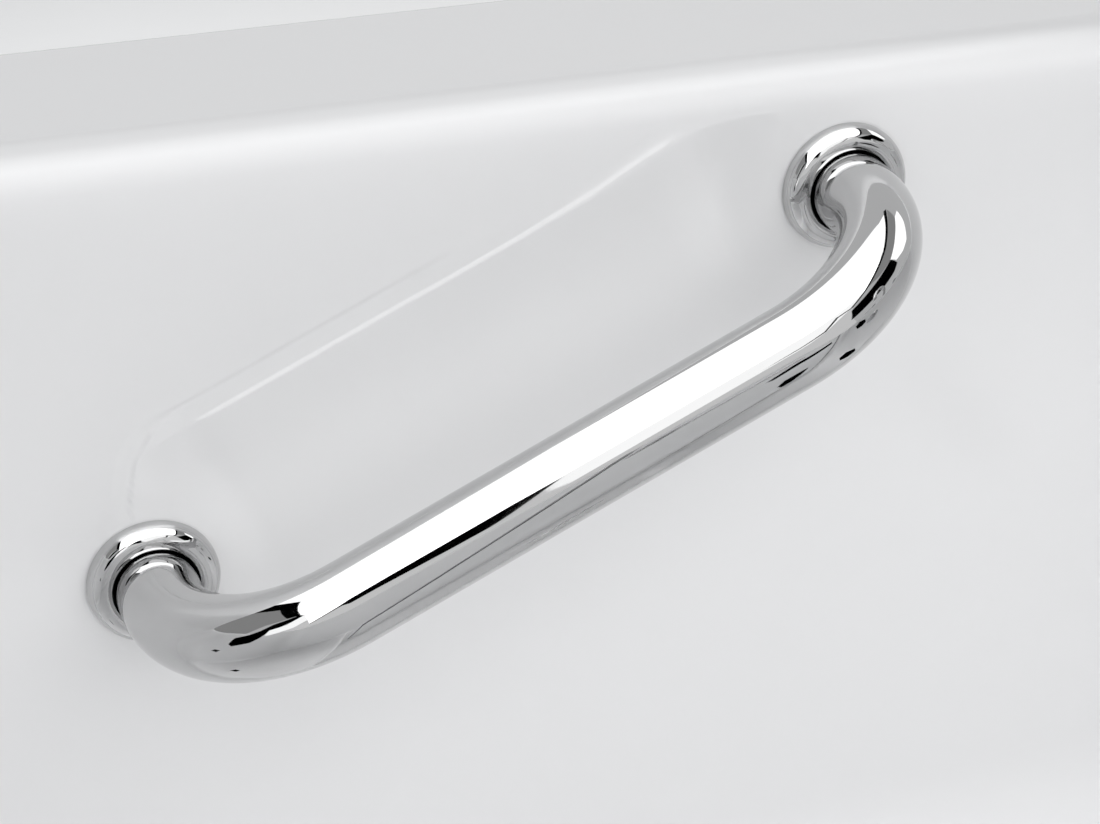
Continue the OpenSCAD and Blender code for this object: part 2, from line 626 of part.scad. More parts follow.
module hinge_pins() {
    color("silver") for (z = hinge_zs) {
        zcyl(hinge_x, hinge_y, 4, z - 1.5 * hk, z + 1.5 * hk);
        zcyl(hinge_x, hinge_y, hinge_r, z + 1.5 * hk, z + 1.5 * hk + 3);
    }
}
module leaf_screws(s) {
    color("silver") for (z = hinge_zs, dz = [-20, 20], dx = [13, 26]) {
        translate([hinge_x + s * dx, yf - 3, z + dz]) rotate([90, 0, 0]) difference() {
            cylinder(r1 = 4.2, r2 = 3.2, h = 1.6);
            translate([0, 0, 1.2]) cube([1, 5, 1.2], center = true);
        }
        ycyl(hinge_x + s * dx, z + dz, 2.2, yf - 3.2, yf - 0.2);
    }
}
module hinge_frame_screws() { leaf_screws(1); }
module hinge_door_screws() { leaf_screws(-1); }
module latch_lever() {
    color("silver") difference() {
        union() {
            ycyl(latch_x, latch_z, 20, wy0 + 0.5, wy0 + 7);
            ycyl(latch_x, latch_z, 11, wy0 + 6, wy0 + 26);
            translate([latch_x, wy0 + 20, latch_z]) rotate([0, 90, 0]) cylinder(r = 7, h = 105);
            translate([latch_x + 105, wy0 + 20, latch_z]) sphere(r = 7);
        }
        ycyl(latch_x, latch_z, 6, wy0, wy0 + 14);
    }
}
// spindle through the door, with the tongue that turns behind the keeper
module latch_cam() {
    color("silver") {
        ycyl(latch_x, latch_z, 6, yf, wy0 + 14);
        ycyl(latch_x, latch_z, 12, yf + 10.5, yf + 17.5);
        box3([latch_x - 7, yf + 11.5, latch_z - 88], [latch_x + 7, yf + 16.5, latch_z]);
    }
}
module latch_thumb_turn() {
    color("silver") {
        ycyl(latch_x, latch_z, 18, yf - 4, yf - 0.4);
        translate([latch_x, yf - 9.5, latch_z]) cube([30, 12, 7], center = true);
    }
}
module latch_keeper() {
    color("silver") difference() {
        box3([open_x0 - frame_t - 3, yf + 6, latch_z - 76], [open_x0 - frame_t, yf + 26, latch_z + 25]);
        box3([open_x0 - frame_t - 4, yf + 8, latch_z - 62], [open_x0 - frame_t + 1, yf + 20, latch_z + 11]);
    }
}

tub_shell();
door_frame();
front_apron();
access_panel();
access_panel_screws();
left_end_panel();
right_end_panel();
frame_long_rails();
frame_cross_rails();
frame_uprights();
seat_frame();
seat_board();
floor_board();
foot_front_left();
foot_front_right();
foot_rear_left();
foot_rear_right();
foot_lock_nuts();
grab_bar();
grab_bar_covers();
grab_bar_end_plugs();
grab_bar_studs();
grab_bar_gaskets();
grab_bar_backing_plate();
grab_bar_washers();
grab_bar_nuts();
spout();
spout_aerator();
tap_bases();
hot_tap_lever();
cold_tap_lever();
hot_index();
cold_index();
hot_valve();
cold_valve();
deck_nuts();
tap_link_pipes();
overflow_plate();
overflow_knob();
overflow_elbow();
overflow_pipe();
drain_flange();
drain_stopper();
drain_shoe();
drain_pipe();
drain_tee();
drain_cable();
door_outer_panel();
door_inner_panel();
door_core();
door_seal();
hinge_door_leaves();
hinge_frame_leaves();
hinge_pins();
hinge_frame_screws();
hinge_door_screws();
latch_lever();
latch_cam();
latch_thumb_turn();
latch_keeper();
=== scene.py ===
import json
import math

import bmesh  # noqa: E402
import bpy  # noqa: E402
import numpy as np  # noqa: E402
from mathutils import Matrix, Vector  # noqa: E402
from mathutils.geometry import delaunay_2d_cdt  # noqa: E402


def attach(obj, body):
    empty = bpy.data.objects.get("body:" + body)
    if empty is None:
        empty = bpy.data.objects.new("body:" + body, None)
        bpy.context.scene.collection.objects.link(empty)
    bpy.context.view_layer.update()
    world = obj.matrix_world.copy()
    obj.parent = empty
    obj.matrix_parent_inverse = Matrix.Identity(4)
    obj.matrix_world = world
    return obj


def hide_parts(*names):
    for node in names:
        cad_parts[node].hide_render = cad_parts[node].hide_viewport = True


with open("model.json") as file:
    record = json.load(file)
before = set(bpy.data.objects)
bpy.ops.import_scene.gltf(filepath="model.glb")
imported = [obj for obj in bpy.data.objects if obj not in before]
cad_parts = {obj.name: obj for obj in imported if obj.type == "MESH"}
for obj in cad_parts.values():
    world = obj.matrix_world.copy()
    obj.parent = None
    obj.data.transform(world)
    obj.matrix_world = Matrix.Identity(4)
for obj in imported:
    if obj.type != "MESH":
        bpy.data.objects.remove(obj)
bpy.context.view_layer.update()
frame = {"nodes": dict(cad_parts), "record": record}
NODES = frame["nodes"]
SCENE = bpy.context.scene

# ----------------------------------------------------------------------------
# Sizes, in millimetres, as in the CAD source
# ----------------------------------------------------------------------------
HL, YB, YF = 660.0, 389.0, -373.0
ZT, LIP = 965.0, 40.0
WX0, WX1, WY0, WY1 = -548.0, 428.0, -302.0, 279.0
YC = (WY0 + WY1) / 2
RL, RR = 90.0, 55.0            # basin corners: behind the bather, tap end
RIM = 17.0                     # rounding of the rim
RB = 35.0                      # rounding between walls and seat or floor
SEAT_Z, FLOOR_Z, SEAT_X = 530.0, 100.0, -100.0
WALL = 7.0
OX0, OX1, OZ0 = -52.0, 392.0, 180.0   # doorway in the front panel
RABBET, FT = 30.0, 7.0
RAB_Y = YF + 35
TAP_X, PITCH = 548.0, 105.0
DRAIN_X, OVER_Z = 330.0, 850.0

# grab bar: its own frame has u along the bar, v up the wall and w out of it
TILT = math.radians(24.0)
P0 = np.array([-190.0, WY1, 789.0])
U = np.array([math.cos(TILT), 0, math.sin(TILT)])
V = np.array([-math.sin(TILT), 0, math.cos(TILT)])
W = np.array([0.0, -1.0, 0.0])
BAR_L, BAR_H, BAR_R, BAR_A = 305.0, 80.0, 62.0, 16.0


def on_wall(p):
    p = np.asarray(p, float)
    return P0 + p[..., 0:1] * U + p[..., 1:2] * V + p[..., 2:3] * W


# ----------------------------------------------------------------------------
# Camera
# ----------------------------------------------------------------------------
cam_data = bpy.data.cameras.new("camera")
cam = bpy.data.objects.new("camera", cam_data)
SCENE.collection.objects.link(cam)
cam_data.sensor_width = 36.0
cam_data.lens = 83.406
cam_data.clip_start, cam_data.clip_end = 0.02, 60.0
CAM_AT = np.array([-320.3066, -549.5996, 1292.3935])
CAM_AXES = np.array([[0.9446477576, 0.1496221555, -0.2919825760],
                     [-0.3280737547, 0.4385652665, -0.8366768304],
                     [0.0028680254, 0.8861567117, 0.4633767979]])
cam.matrix_world = Matrix([[*CAM_AXES[i], CAM_AT[i] / 1000] for i in range(3)] + [[0, 0, 0, 1]])
SCENE.camera = cam


# ----------------------------------------------------------------------------
# Node helpers
# ----------------------------------------------------------------------------
class Nodes:
    """A material and short calls that add nodes to it."""

    def __init__(self, name):
        self.mat = bpy.data.materials.new(name)
        self.mat.use_nodes = True
        self.t = self.mat.node_tree
        self.t.nodes.clear()
        self.out = self.add("ShaderNodeOutputMaterial")
        self.b = self.add("ShaderNodeBsdfPrincipled")
        self.t.links.new(self.b.outputs[0], self.out.inputs[0])
        self.coord = self.add("ShaderNodeTexCoord").outputs["Object"]

    def add(self, kind, **props):
        n = self.t.nodes.new(kind)
        for k, v in props.items():
            setattr(n, k, v)
        return n

    def link(self, a, b):
        self.t.links.new(a, b)

    def put(self, node, name, value):
        s = node.inputs[name]
        if isinstance(value, bpy.types.NodeSocket):
            self.link(value, s)
        else:
            s.default_value = value
        return node

    def mapped(self, scale=(1, 1, 1), rot=(0, 0, 0), loc=(0, 0, 0), vec=None):
        m = self.add("ShaderNodeMapping")
        self.link(vec or self.coord, m.inputs["Vector"])
        m.inputs["Scale"].default_value = scale
        m.inputs["Rotation"].default_value = rot
        m.inputs["Location"].default_value = loc
        return m.outputs[0]

    def noise(self, scale, detail=3.0, rough=0.5, vec=None, dist=0.0):
        n = self.add("ShaderNodeTexNoise")
        self.link(vec or self.coord, n.inputs["Vector"])
        n.inputs["Scale"].default_value = scale
        n.inputs["Detail"].default_value = detail
        n.inputs["Roughness"].default_value = rough
        n.inputs["Distortion"].default_value = dist
        return n.outputs["Fac"]

    def voronoi(self, scale, vec=None, feature="F1", out="Distance"):
        n = self.add("ShaderNodeTexVoronoi", feature=feature)
        self.link(vec or self.coord, n.inputs["Vector"])
        n.inputs["Scale"].default_value = scale
        return n.outputs[out]

    def wave(self, scale, vec=None, dist=0.0, detail=2.0, direction="X", kind="BANDS", dscale=1.0):
        n = self.add("ShaderNodeTexWave", wave_type=kind)
        if kind == "BANDS":
            n.bands_direction = direction
        else:
            n.rings_direction = direction
        self.link(vec or self.coord, n.inputs["Vector"])
        n.inputs["Scale"].default_value = scale
        n.inputs["Distortion"].default_value = dist
        n.inputs["Detail"].default_value = detail
        n.inputs["Detail Scale"].default_value = dscale
        return n.outputs["Fac"]

    def range(self, x, a, b, c, d, smooth=False):
        n = self.add("ShaderNodeMapRange")
        if smooth:
            n.interpolation_type = "SMOOTHSTEP"
        self.link(x, n.inputs["Value"])
        for k, v in (("From Min", a), ("From Max", b), ("To Min", c), ("To Max", d)):
            n.inputs[k].default_value = v
        return n.outputs[0]

    def mix(self, fac, a, b):
        n = self.add("ShaderNodeMix", data_type="RGBA")
        for s, v in ((n.inputs[0], fac), (n.inputs[6], a), (n.inputs[7], b)):
            if isinstance(v, bpy.types.NodeSocket):
                self.link(v, s)
            elif isinstance(v, (int, float)):
                s.default_value = v
            else:
                s.default_value = (*v, 1.0)
        return n.outputs[2]

    def math(self, op, a, b=0.0, c=0.0):
        n = self.add("ShaderNodeMath", operation=op)
        for s, v in zip(n.inputs, (a, b, c)):
            if isinstance(v, bpy.types.NodeSocket):
                self.link(v, s)
            else:
                s.default_value = v
        return n.outputs[0]

    def axis(self, which, vec=None):
        n = self.add("ShaderNodeSeparateXYZ")
        self.link(vec or self.coord, n.inputs[0])
        return n.outputs["XYZ".index(which)]

    def bump(self, height, dist, strength=1.0, after=None):
        n = self.add("ShaderNodeBump")
        n.inputs["Strength"].default_value = strength
        n.inputs["Distance"].default_value = dist
        self.link(height, n.inputs["Height"])
        if after is not None:
            self.link(after, n.inputs["Normal"])
        return n.outputs[0]

    def finish(self, color, rough, normal=None, metallic=0.0, ior=1.5, coat=0.0, coat_rough=0.03, sheen=0.0):
        b = self.b
        for name, v in (("Base Color", color), ("Roughness", rough)):
            s = b.inputs[name]
            if isinstance(v, bpy.types.NodeSocket):
                self.link(v, s)
            elif isinstance(v, (int, float)):
                s.default_value = v
            else:
                s.default_value = (*v, 1.0)
        b.inputs["Metallic"].default_value = metallic
        b.inputs["IOR"].default_value = ior
        b.inputs["Coat Weight"].default_value = coat
        b.inputs["Coat Roughness"].default_value = coat_rough
        b.inputs["Sheen Weight"].default_value = sheen
        if normal is not None:
            self.link(normal, b.inputs["Normal"])
        return self.mat


def grip_mask(n):
    """Pips moulded in the seat and the floor of the foot well against slipping, and the mask they lie in."""
    x, y, z = (n.axis(a) for a in "XYZ")
    k = 2 * math.pi / 0.018
    wave = n.math("MULTIPLY", n.math("SINE", n.math("MULTIPLY", x, k)), n.math("SINE", n.math("MULTIPLY", y, k)))
    both = None
    for x0, x1, y0, y1, z0 in ((SEAT_X + 60, WX1 - 62, WY0 + 62, WY1 - 62, FLOOR_Z), (WX0 + 75, SEAT_X - 65, WY0 + 75, WY1 - 75, SEAT_Z)):
        m = None
        for v, a, b in ((x, x0, x0 + 5), (x, x1, x1 - 5), (y, y0, y0 + 5), (y, y1, y1 - 5), (z, z0 - 12, z0 - 10), (z, z0 + 12, z0 + 10)):
            e = n.range(v, a / 1000, b / 1000, 0, 1)
            m = e if m is None else n.math("MULTIPLY", m, e)
        both = m if both is None else n.math("ADD", both, m)
    dx, dy = n.math("SUBTRACT", x, DRAIN_X / 1000), n.math("SUBTRACT", y, YC / 1000)
    far = n.math("SQRT", n.math("ADD", n.math("MULTIPLY", dx, dx), n.math("MULTIPLY", dy, dy)))
    area = n.math("MULTIPLY", both, n.range(far, 0.058, 0.062, 0, 1))
    return n.math("MULTIPLY", n.range(wave, 0.3, 0.62, 0, 1, True), area), area


def gelcoat(name, base, rough=0.2, wave_h=0.00018, orange=0.000012, grip=False):
    """Glossy moulded white: faint clouding, uneven gloss, long soft waves and a fine orange peel."""
    n = Nodes(name)
    cloud = n.noise(2.4, 3.0, 0.55)
    fine = n.noise(34.0, 4.0, 0.6)
    a = tuple(c * 0.991 for c in base)
    b = tuple(min(1.0, c * 1.006) for c in base)
    col = n.mix(n.range(cloud, 0.3, 0.7, 0, 1), a, b)
    col = n.mix(n.range(fine, 0.3, 0.75, 0.0, 0.3), col, tuple(c * 0.985 for c in base))
    r = n.range(n.noise(5.0, 2.0, 0.5), 0.3, 0.7, rough * 0.93, rough * 1.08)
    long = n.bump(n.noise(3.2, 1.0, 0.4), wave_h)
    nrm = n.bump(n.noise(190.0, 2.0, 0.5), orange, 1.0, long)
    if grip:
        pip, area = grip_mask(n)
        nrm = n.bump(pip, 0.0007, 1.0, nrm)
        col = n.mix(n.range(n.math("SUBTRACT", area, pip), 0, 1, 0, 0.5), col, tuple(c * 0.95 for c in base))
        r = n.math("ADD", r, n.range(area, 0, 1, 0, 0.1))
    return n.finish(col, r, nrm, ior=1.5)


def fibreglass(name):
    """Back of a laminate: chopped strands in pale resin."""
    n = Nodes(name)
    s1 = n.wave(70, n.mapped((1, 1, 1), (0.3, 0.5, 0.9)), 14.0, 3.0, dscale=3.0)
    s2 = n.wave(80, n.mapped((1, 1, 1), (1.1, -0.4, -0.6)), 16.0, 3.0, dscale=3.0)
    strands = n.math("MAXIMUM", s1, s2)
    blot = n.noise(9.0, 4.0, 0.6)
    col = n.mix(n.range(blot, 0.35, 0.65, 0, 1), (0.50, 0.50, 0.40), (0.62, 0.60, 0.49))
    col = n.mix(n.range(strands, 0.72, 1.0, 0, 0.5), col, (0.76, 0.75, 0.67))
    col = n.mix(n.range(n.noise(60.0, 3.0, 0.6), 0.62, 0.8, 0, 0.35), col, (0.38, 0.38, 0.30))
    r = n.range(n.noise(22.0, 3.0, 0.6), 0.3, 0.7, 0.32, 0.62)
    nrm = n.bump(strands, 0.0006, 0.8)
    nrm = n.bump(n.noise(16.0, 3.0, 0.6), 0.0022, 0.7, nrm)
    return n.finish(col, r, nrm)


def chrome(name, tint=(0.565, 0.566, 0.568), rough=0.035, wave_h=0.00002):
    """Bright plated steel with polishing waves, hairlines and a trace of handling."""
    n = Nodes(name)
    smear = n.noise(16.0, 5.0, 0.65, dist=0.6)
    col = n.mix(n.range(smear, 0.35, 0.75, 0, 1), tint, tuple(c * 0.965 for c in tint))
    r = n.math("ADD", n.range(smear, 0.35, 0.8, rough * 0.6, rough * 1.5),
               n.range(n.noise(420.0, 2.0, 0.6), 0.45, 0.8, 0.0, rough * 0.5))
    hair = n.noise(900.0, 2.0, 0.5, n.mapped((1, 1, 0.03), (0.2, 1.1, 0.4)))
    nrm = n.bump(n.noise(26.0, 1.5, 0.4), wave_h)
    nrm = n.bump(hair, 0.0000006, 0.6, nrm)
    return n.finish(col, r, nrm, metallic=1.0)


def brushed(name, tint, rough=0.26, along="X"):
    """Brushed or mill-finished steel, with grain along one axis and a few darker rubs."""
    n = Nodes(name)
    k = {"X": (0.03, 1, 1), "Y": (1, 0.03, 1), "Z": (1, 1, 0.03)}[along]
    grain = n.noise(620.0, 3.0, 0.6, n.mapped(k))
    blot = n.noise(7.0, 4.0, 0.6)
    col = n.mix(n.range(grain, 0.3, 0.7, 0, 1), tuple(c * 0.90 for c in tint), tint)
    col = n.mix(n.range(blot, 0.35, 0.75, 0, 0.55), col, tuple(c * 0.86 for c in tint))
    r = n.math("ADD", n.range(grain, 0.3, 0.7, rough * 0.8, rough * 1.25), n.range(blot, 0.4, 0.7, 0, 0.07))
    return n.finish(col, r, n.bump(grain, 0.000012, 0.8), metallic=1.0)


def steel_bright(name, tint=(0.52, 0.52, 0.53), rough=0.22):
    n = Nodes(name)
    f = n.noise(140.0, 4.0, 0.6)
    col = n.mix(n.range(f, 0.35, 0.7, 0, 1), tint, tuple(c * 0.93 for c in tint))
    r = n.range(n.noise(60.0, 4.0, 0.65), 0.3, 0.75, rough * 0.85, rough * 1.3)
    return n.finish(col, r, n.bump(f, 0.00001, 0.6), metallic=1.0)


def coloured_metal(name, a, b, rough):
    n = Nodes(name)
    patina = n.noise(28.0, 5.0, 0.62)
    turn = n.wave(520.0, None, 1.5, 2.0, "Z")
    col = n.mix(n.range(patina, 0.38, 0.7, 0, 1), a, b)
    r = n.range(patina, 0.3, 0.75, rough * 0.75, rough * 1.5)
    return n.finish(col, r, n.bump(turn, 0.000012, 0.5), metallic=1.0)


def rubber(name, base=(0.022, 0.023, 0.025), rough=0.62):
    n = Nodes(name)
    f = n.noise(520.0, 3.0, 0.6)
    bloom = n.noise(14.0, 4.0, 0.62)
    col = n.mix(n.range(bloom, 0.4, 0.75, 0, 1), base, tuple(c * 2.1 for c in base))
    return n.finish(col, n.range(bloom, 0.3, 0.7, rough * 0.85, min(0.95, rough * 1.2)), n.bump(f, 0.00004, 0.6))


def moulded(name, base, rough=0.38, grain_h=0.000025):
    n = Nodes(name)
    f = n.noise(700.0, 2.0, 0.55)
    c = n.noise(11.0, 4.0, 0.6)
    col = n.mix(n.range(c, 0.35, 0.7, 0, 1), base, tuple(min(1, x * 0.9 + 0.006) for x in base))
    r = n.range(c, 0.3, 0.72, rough * 0.85, rough * 1.2)
    return n.finish(col, r, n.bump(f, grain_h, 0.5))


def pipe_plastic(name):
    """Off-white pipe: faint extrusion lines and slight yellowing."""
    n = Nodes(name)
    lines = n.noise(260.0, 2.0, 0.5, n.mapped((1, 1, 0.02)))
    c = n.noise(8.0, 4.0, 0.6)
    col = n.mix(n.range(c, 0.35, 0.7, 0, 1), (0.70, 0.70, 0.66), (0.66, 0.645, 0.585))
    return n.finish(col, n.range(lines, 0.3, 0.7, 0.24, 0.36), n.bump(lines, 0.00003, 0.5))


def plywood(name):
    """Grain on the faces, plies on the edges."""
    n = Nodes(name)
    warp = n.mapped((1.2, 9.0, 1.0))
    g = n.wave(2.6, warp, 6.0, 4.0, "Y", dscale=1.4)
    fine = n.noise(90.0, 4.0, 0.6, n.mapped((0.08, 1.0, 1.0)))
    col = n.mix(n.range(g, 0.2, 0.9, 0, 1), (0.48, 0.33, 0.18), (0.62, 0.46, 0.28))
    col = n.mix(n.range(fine, 0.5, 0.75, 0, 0.5), col, (0.34, 0.22, 0.12))
    geo = n.add("ShaderNodeNewGeometry")
    side = n.math("ABSOLUTE", n.axis("Z", geo.outputs["Normal"]))
    ply = n.wave(110.0, None, 0.3, 2.0, "Z")
    edge = n.mix(n.range(ply, 0.45, 0.55, 0, 1), (0.30, 0.19, 0.10), (0.58, 0.43, 0.26))
    col = n.mix(n.range(side, 0.3, 0.6, 0, 1), edge, col)
    return n.finish(col, n.range(fine, 0.3, 0.7, 0.5, 0.72), n.bump(fine, 0.0002, 0.6))


M = {
    "shell": gelcoat("gelcoat_white", (0.80, 0.801, 0.806), 0.2, grip=True),
    "laminate": fibreglass("laminate_back"),
    "panel": gelcoat("panel_white", (0.79, 0.793, 0.797), 0.3, 0.00016, 0.000006),
    "door_frame": brushed("brushed_frame", (0.54, 0.545, 0.55), 0.26, "Z"),
    "frame_steel": brushed("mill_steel", (0.50, 0.51, 0.52), 0.36, "X"),
    "chrome": chrome("chrome_plate"),
    "bolt_steel": steel_bright("bright_steel"),
    "plywood": plywood("plywood_board"),
    "seal": rubber("seal_rubber", (0.05, 0.052, 0.055)),
    "gasket": rubber("gasket_rubber", (0.02, 0.02, 0.021)),
    "plug": moulded("grey_plug", (0.17, 0.175, 0.18)),
    "brass": coloured_metal("brass_body", (0.62, 0.45, 0.20), (0.46, 0.31, 0.13), 0.3),
    "copper": coloured_metal("copper_tube", (0.66, 0.33, 0.20), (0.40, 0.19, 0.12), 0.32),
    "pipe": pipe_plastic("waste_pipe"),
    "cable": moulded("cable_sheath", (0.035, 0.035, 0.037), 0.5),
    "foot": moulded("foot_plastic", (0.028, 0.028, 0.03), 0.48, 0.00004),
    "red": moulded("index_red", (0.50, 0.012, 0.010), 0.22, 0.000008),
    "blue": moulded("index_blue", (0.010, 0.045, 0.36), 0.22, 0.000008),
}


# ----------------------------------------------------------------------------
# Mesh helpers
# ----------------------------------------------------------------------------
def make(name, verts_mm, faces, normals=None, mats=("shell",), index=None, body="root", nodes=(), slot=None):
    """A mesh object. normals: one per face corner, in face order. index: material number of each face."""
    me = bpy.data.meshes.new(name)
    me.from_pydata((np.asarray(verts_mm, float) / 1000).tolist(), [], [list(map(int, f)) for f in faces])
    for m in mats:
        me.materials.append(M[m])
    if index is not None:
        me.polygons.foreach_set("material_index", np.asarray(index, np.int32))
    me.polygons.foreach_set("use_smooth", [True] * len(me.polygons))
    me.update()
    if normals is not None:
        me.normals_split_custom_set(np.asarray(normals, float).tolist())
    o = bpy.data.objects.new(name, me)
    SCENE.collection.objects.link(o)
    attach(o, body)
    if nodes:
        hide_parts(*nodes)
    return o


class Skin:
    """Points with one surface normal each, shared between neighbouring patches, and the faces on them."""

    def __init__(self):
        self.p, self.n, self.t, self.key, self.f = [], [], [], {}, []

    def at(self, p, n, t=WALL):
        k = (round(p[0], 3), round(p[1], 3), round(p[2], 3))
        i = self.key.get(k)
        if i is None:
            i = self.key[k] = len(self.p)
            self.p.append(np.asarray(p, float))
            self.n.append(np.asarray(n, float))
            self.t.append(t)
        return i

    def face(self, ids):
        ids = [i for k, i in enumerate(ids) if i != ids[k - 1]]
        if len(ids) < 3:
            return
        p = np.array([self.p[i] for i in ids])
        g = np.zeros(3)
        for k in range(1, len(ids) - 1):
            g += np.cross(p[k] - p[0], p[k + 1] - p[0])
        if g @ sum(self.n[i] for i in ids) < 0:
            ids = ids[::-1]
        self.f.append(tuple(ids))

    def grid(self, rows, closed=False):
        """rows: lists of point numbers of one length."""
        for a, b in zip(rows, rows[1:]):
            m = len(a)
            for k in range(m if closed else m - 1):
                j = (k + 1) % m
                self.face([a[k], a[j], b[j], b[k]])

    def flat(self, loops, uv, inner=()):
        """Fills the plane region inside the first loop and outside the others. uv: point -> 2-D."""
        ids, edges = [], []
        for lp in loops:
            base = len(ids)
            ids += lp
            edges += [(base + k, base + (k + 1) % len(lp)) for k in range(len(lp))]
        ids += list(inner)
        co = [Vector(uv(self.p[i])) for i in ids]
        got = delaunay_2d_cdt(co, edges, [], 0, 1e-6)
        vs, fs, orig = got[0], got[2], got[3]
        polys = [np.array([uv(self.p[i]) for i in lp]) for lp in loops]

        def inside(poly, x, y):
            a, b = poly, np.roll(poly, -1, 0)
            c = (a[:, 1] > y) != (b[:, 1] > y)
            with np.errstate(divide="ignore", invalid="ignore"):
                xi = a[:, 0] + (y - a[:, 1]) * (b[:, 0] - a[:, 0]) / (b[:, 1] - a[:, 1])
            return bool(np.sum(c & (x < xi)) % 2)

        for f in fs:
            c = sum((vs[i] for i in f), Vector((0, 0))) / len(f)
            if sum(inside(p, c.x, c.y) for p in polys) % 2:
                self.face([ids[orig[i][0]] for i in f])


def arc(cx, cy, r, a0, a1, n):
    t = np.radians(np.linspace(a0, a1, n + 1))
    return [(cx + r * math.cos(a), cy + r * math.sin(a), math.cos(a), math.sin(a)) for a in t]


# ----------------------------------------------------------------------------
# Moulded shell
# ----------------------------------------------------------------------------
def crest_v(u):
    """Height of the hand recess's upper edge on the wall, in the bar's frame."""
    return np.interp(u, [-10, 60, 150, 185, 215, 240, 250, 262, 274, 286, 301, 320],
                     [50.2, 50.4, 50.5, 51.0, 52.0, 54.2, 54.6, 53.0, 50.0, 46.0, 39.0, 28.0])


def bump1(x):
    x = np.clip(np.abs(x), 0, 1)
    return (1 - x * x) ** 2


def step1(x, a, b):
    t = np.clip((x - a) / (b - a), 0, 1)
    return t * t * (3 - 2 * t)


def tilt_at(u, s):
    """Slope of the wall (positive faces up) at s mm above the crest line."""
    a_dip = step1(u, 26, 44) * (1 - step1(u, 128, 168))
    a_crest = step1(u, 36, 52) * (1 - 0.30 * step1(u, 190, 235)) * (1 - step1(u, 242, 266))
    a_ramp = step1(u, 30, 60) * (1 - step1(u, 240, 264))
    a_low = step1(u, 2, 30) * (1 - step1(u, 288, 306))
    right = step1(u, 185, 232)
    wide = 1.12 + 1.7 * right
    t = -25.0 * a_dip * bump1((s - 8.6) / 1.8)
    t += (15.0 + 8.0 * right) * a_ramp * step1(s, 8.2, 0.8) * step1(s, -0.3, 0.6)
    t += (48.0 - 16.0 * right) * a_crest * bump1((s - 0.1) / wide)
    t += -6.0 * a_low * step1(s, 0.2, -1.8) * (1 - step1(s, -14, -42))
    t += -8.0 * step1(u, 236, 258) * (1 - step1(u, 286, 304)) * step1(s, 0.5, -4) * (1 - step1(s, -14, -30))
    return t


S_FINE = np.concatenate([np.arange(-122, -45, 1.0), np.arange(-45, 13.01, 0.1)])


def relief_table(us):
    """Height out of the wall plane for each u, as a table over S_FINE, faded back to nought at the bottom."""
    out = []
    for u in us:
        t = np.tan(np.radians(tilt_at(u, S_FINE)))
        h = np.zeros_like(S_FINE)
        h[:-1] = np.cumsum((0.5 * (t[1:] + t[:-1]) * np.diff(S_FINE))[::-1])[::-1]
        h = h - h[-1]
        low = h[np.searchsorted(S_FINE, -44.0)]
        fade = step1(S_FINE, -116.0, -30.0)
        h = np.where(S_FINE < -30, (h - low) * fade + low * fade, h)
        out.append(h)
    return np.array(out)


US = np.concatenate([np.arange(-16.0, -1, 1.5), np.arange(-1.0, 64, 0.65), np.arange(64.0, 318.01, 1.5)])
TAB = relief_table(US)
DARK_PATH = np.array([(3.4, 24.0), (3.7, 27.9), (10, 38.9), (17.5, 48.9), (27.7, 55.5), (41, 58.4), (52, 59.2)])


def relief(u, v):
    """Height out of the wall at a point of the wall, u and v in the bar's frame."""
    u, v = np.asarray(u, float), np.asarray(v, float)
    s = v - crest_v(u)
    iu = np.clip(np.interp(u, US, np.arange(len(US))), 0, len(US) - 1.001)
    i0 = iu.astype(int)
    fu = iu - i0
    si = np.interp(s, S_FINE, np.arange(len(S_FINE)))
    j0 = np.clip(si.astype(int), 0, len(S_FINE) - 2)
    fj = si - j0
    h = ((TAB[i0, j0] * (1 - fj) + TAB[i0, j0 + 1] * fj) * (1 - fu)
         + (TAB[i0 + 1, j0] * (1 - fj) + TAB[i0 + 1, j0 + 1] * fj) * fu)
    # flat land round each fixing
    for cu in (0.0, BAR_L):
        h = h * step1(np.hypot(u - cu, v), 29.0, 52.0)
    # soft crease that bounds the recess on the left: gentle outside, steep inside
    d = np.full(u.shape, 1e9)
    along = np.zeros(u.shape)
    total = 0.0
    for a, b in zip(DARK_PATH, DARK_PATH[1:]):
        L = np.linalg.norm(b - a)
        e = (b - a) / L
        t = np.clip((u - a[0]) * e[0] + (v - a[1]) * e[1], 0, L)
        du, dv = u - a[0] - t * e[0], v - a[1] - t * e[1]
        q = np.hypot(du, dv) * np.where(e[0] * dv - e[1] * du >= 0, 1.0, -1.0)
        near = np.abs(q) < np.abs(d)
        d = np.where(near, q, d)
        along = np.where(near, total + t, along)
        total += L
    groove = np.where(d >= 0, 1 - step1(d, 0, 7.0), 1 - step1(-d, 0, 1.9))
    h = h - 0.62 * groove * step1(along, 0, 12) * (1 - step1(along, total - 16, total))
    return h


def top_limit(u):
    """The rim's rounding starts here."""
    return (ZT - RIM - P0[2]) / math.cos(TILT) - math.tan(TILT) * u


sk = Skin()
PHI = np.radians(np.linspace(0, 90, 13))


def plan_loop(g, n1=18, n2=14):
    """The basin's outline grown by g, from the doorway's right side round to its left side: (x, y, nx, ny)."""
    rl, rr = RL + g, RR + g
    out = [(369.0, WY0 - g, 0, -1)]
    out += arc(WX1 - RR, WY0 + RR, rr, 270, 360, n2)
    out += arc(WX1 - RR, WY1 - RR, rr, 0, 90, n2)
    out += arc(WX0 + RL, WY1 - RL, rl, 90, 180, n1)
    out += arc(WX0 + RL, WY0 + RL, rl, 180, 270, n1)
    out += [(-29.0, WY0 - g, 0, -1)]
    return out


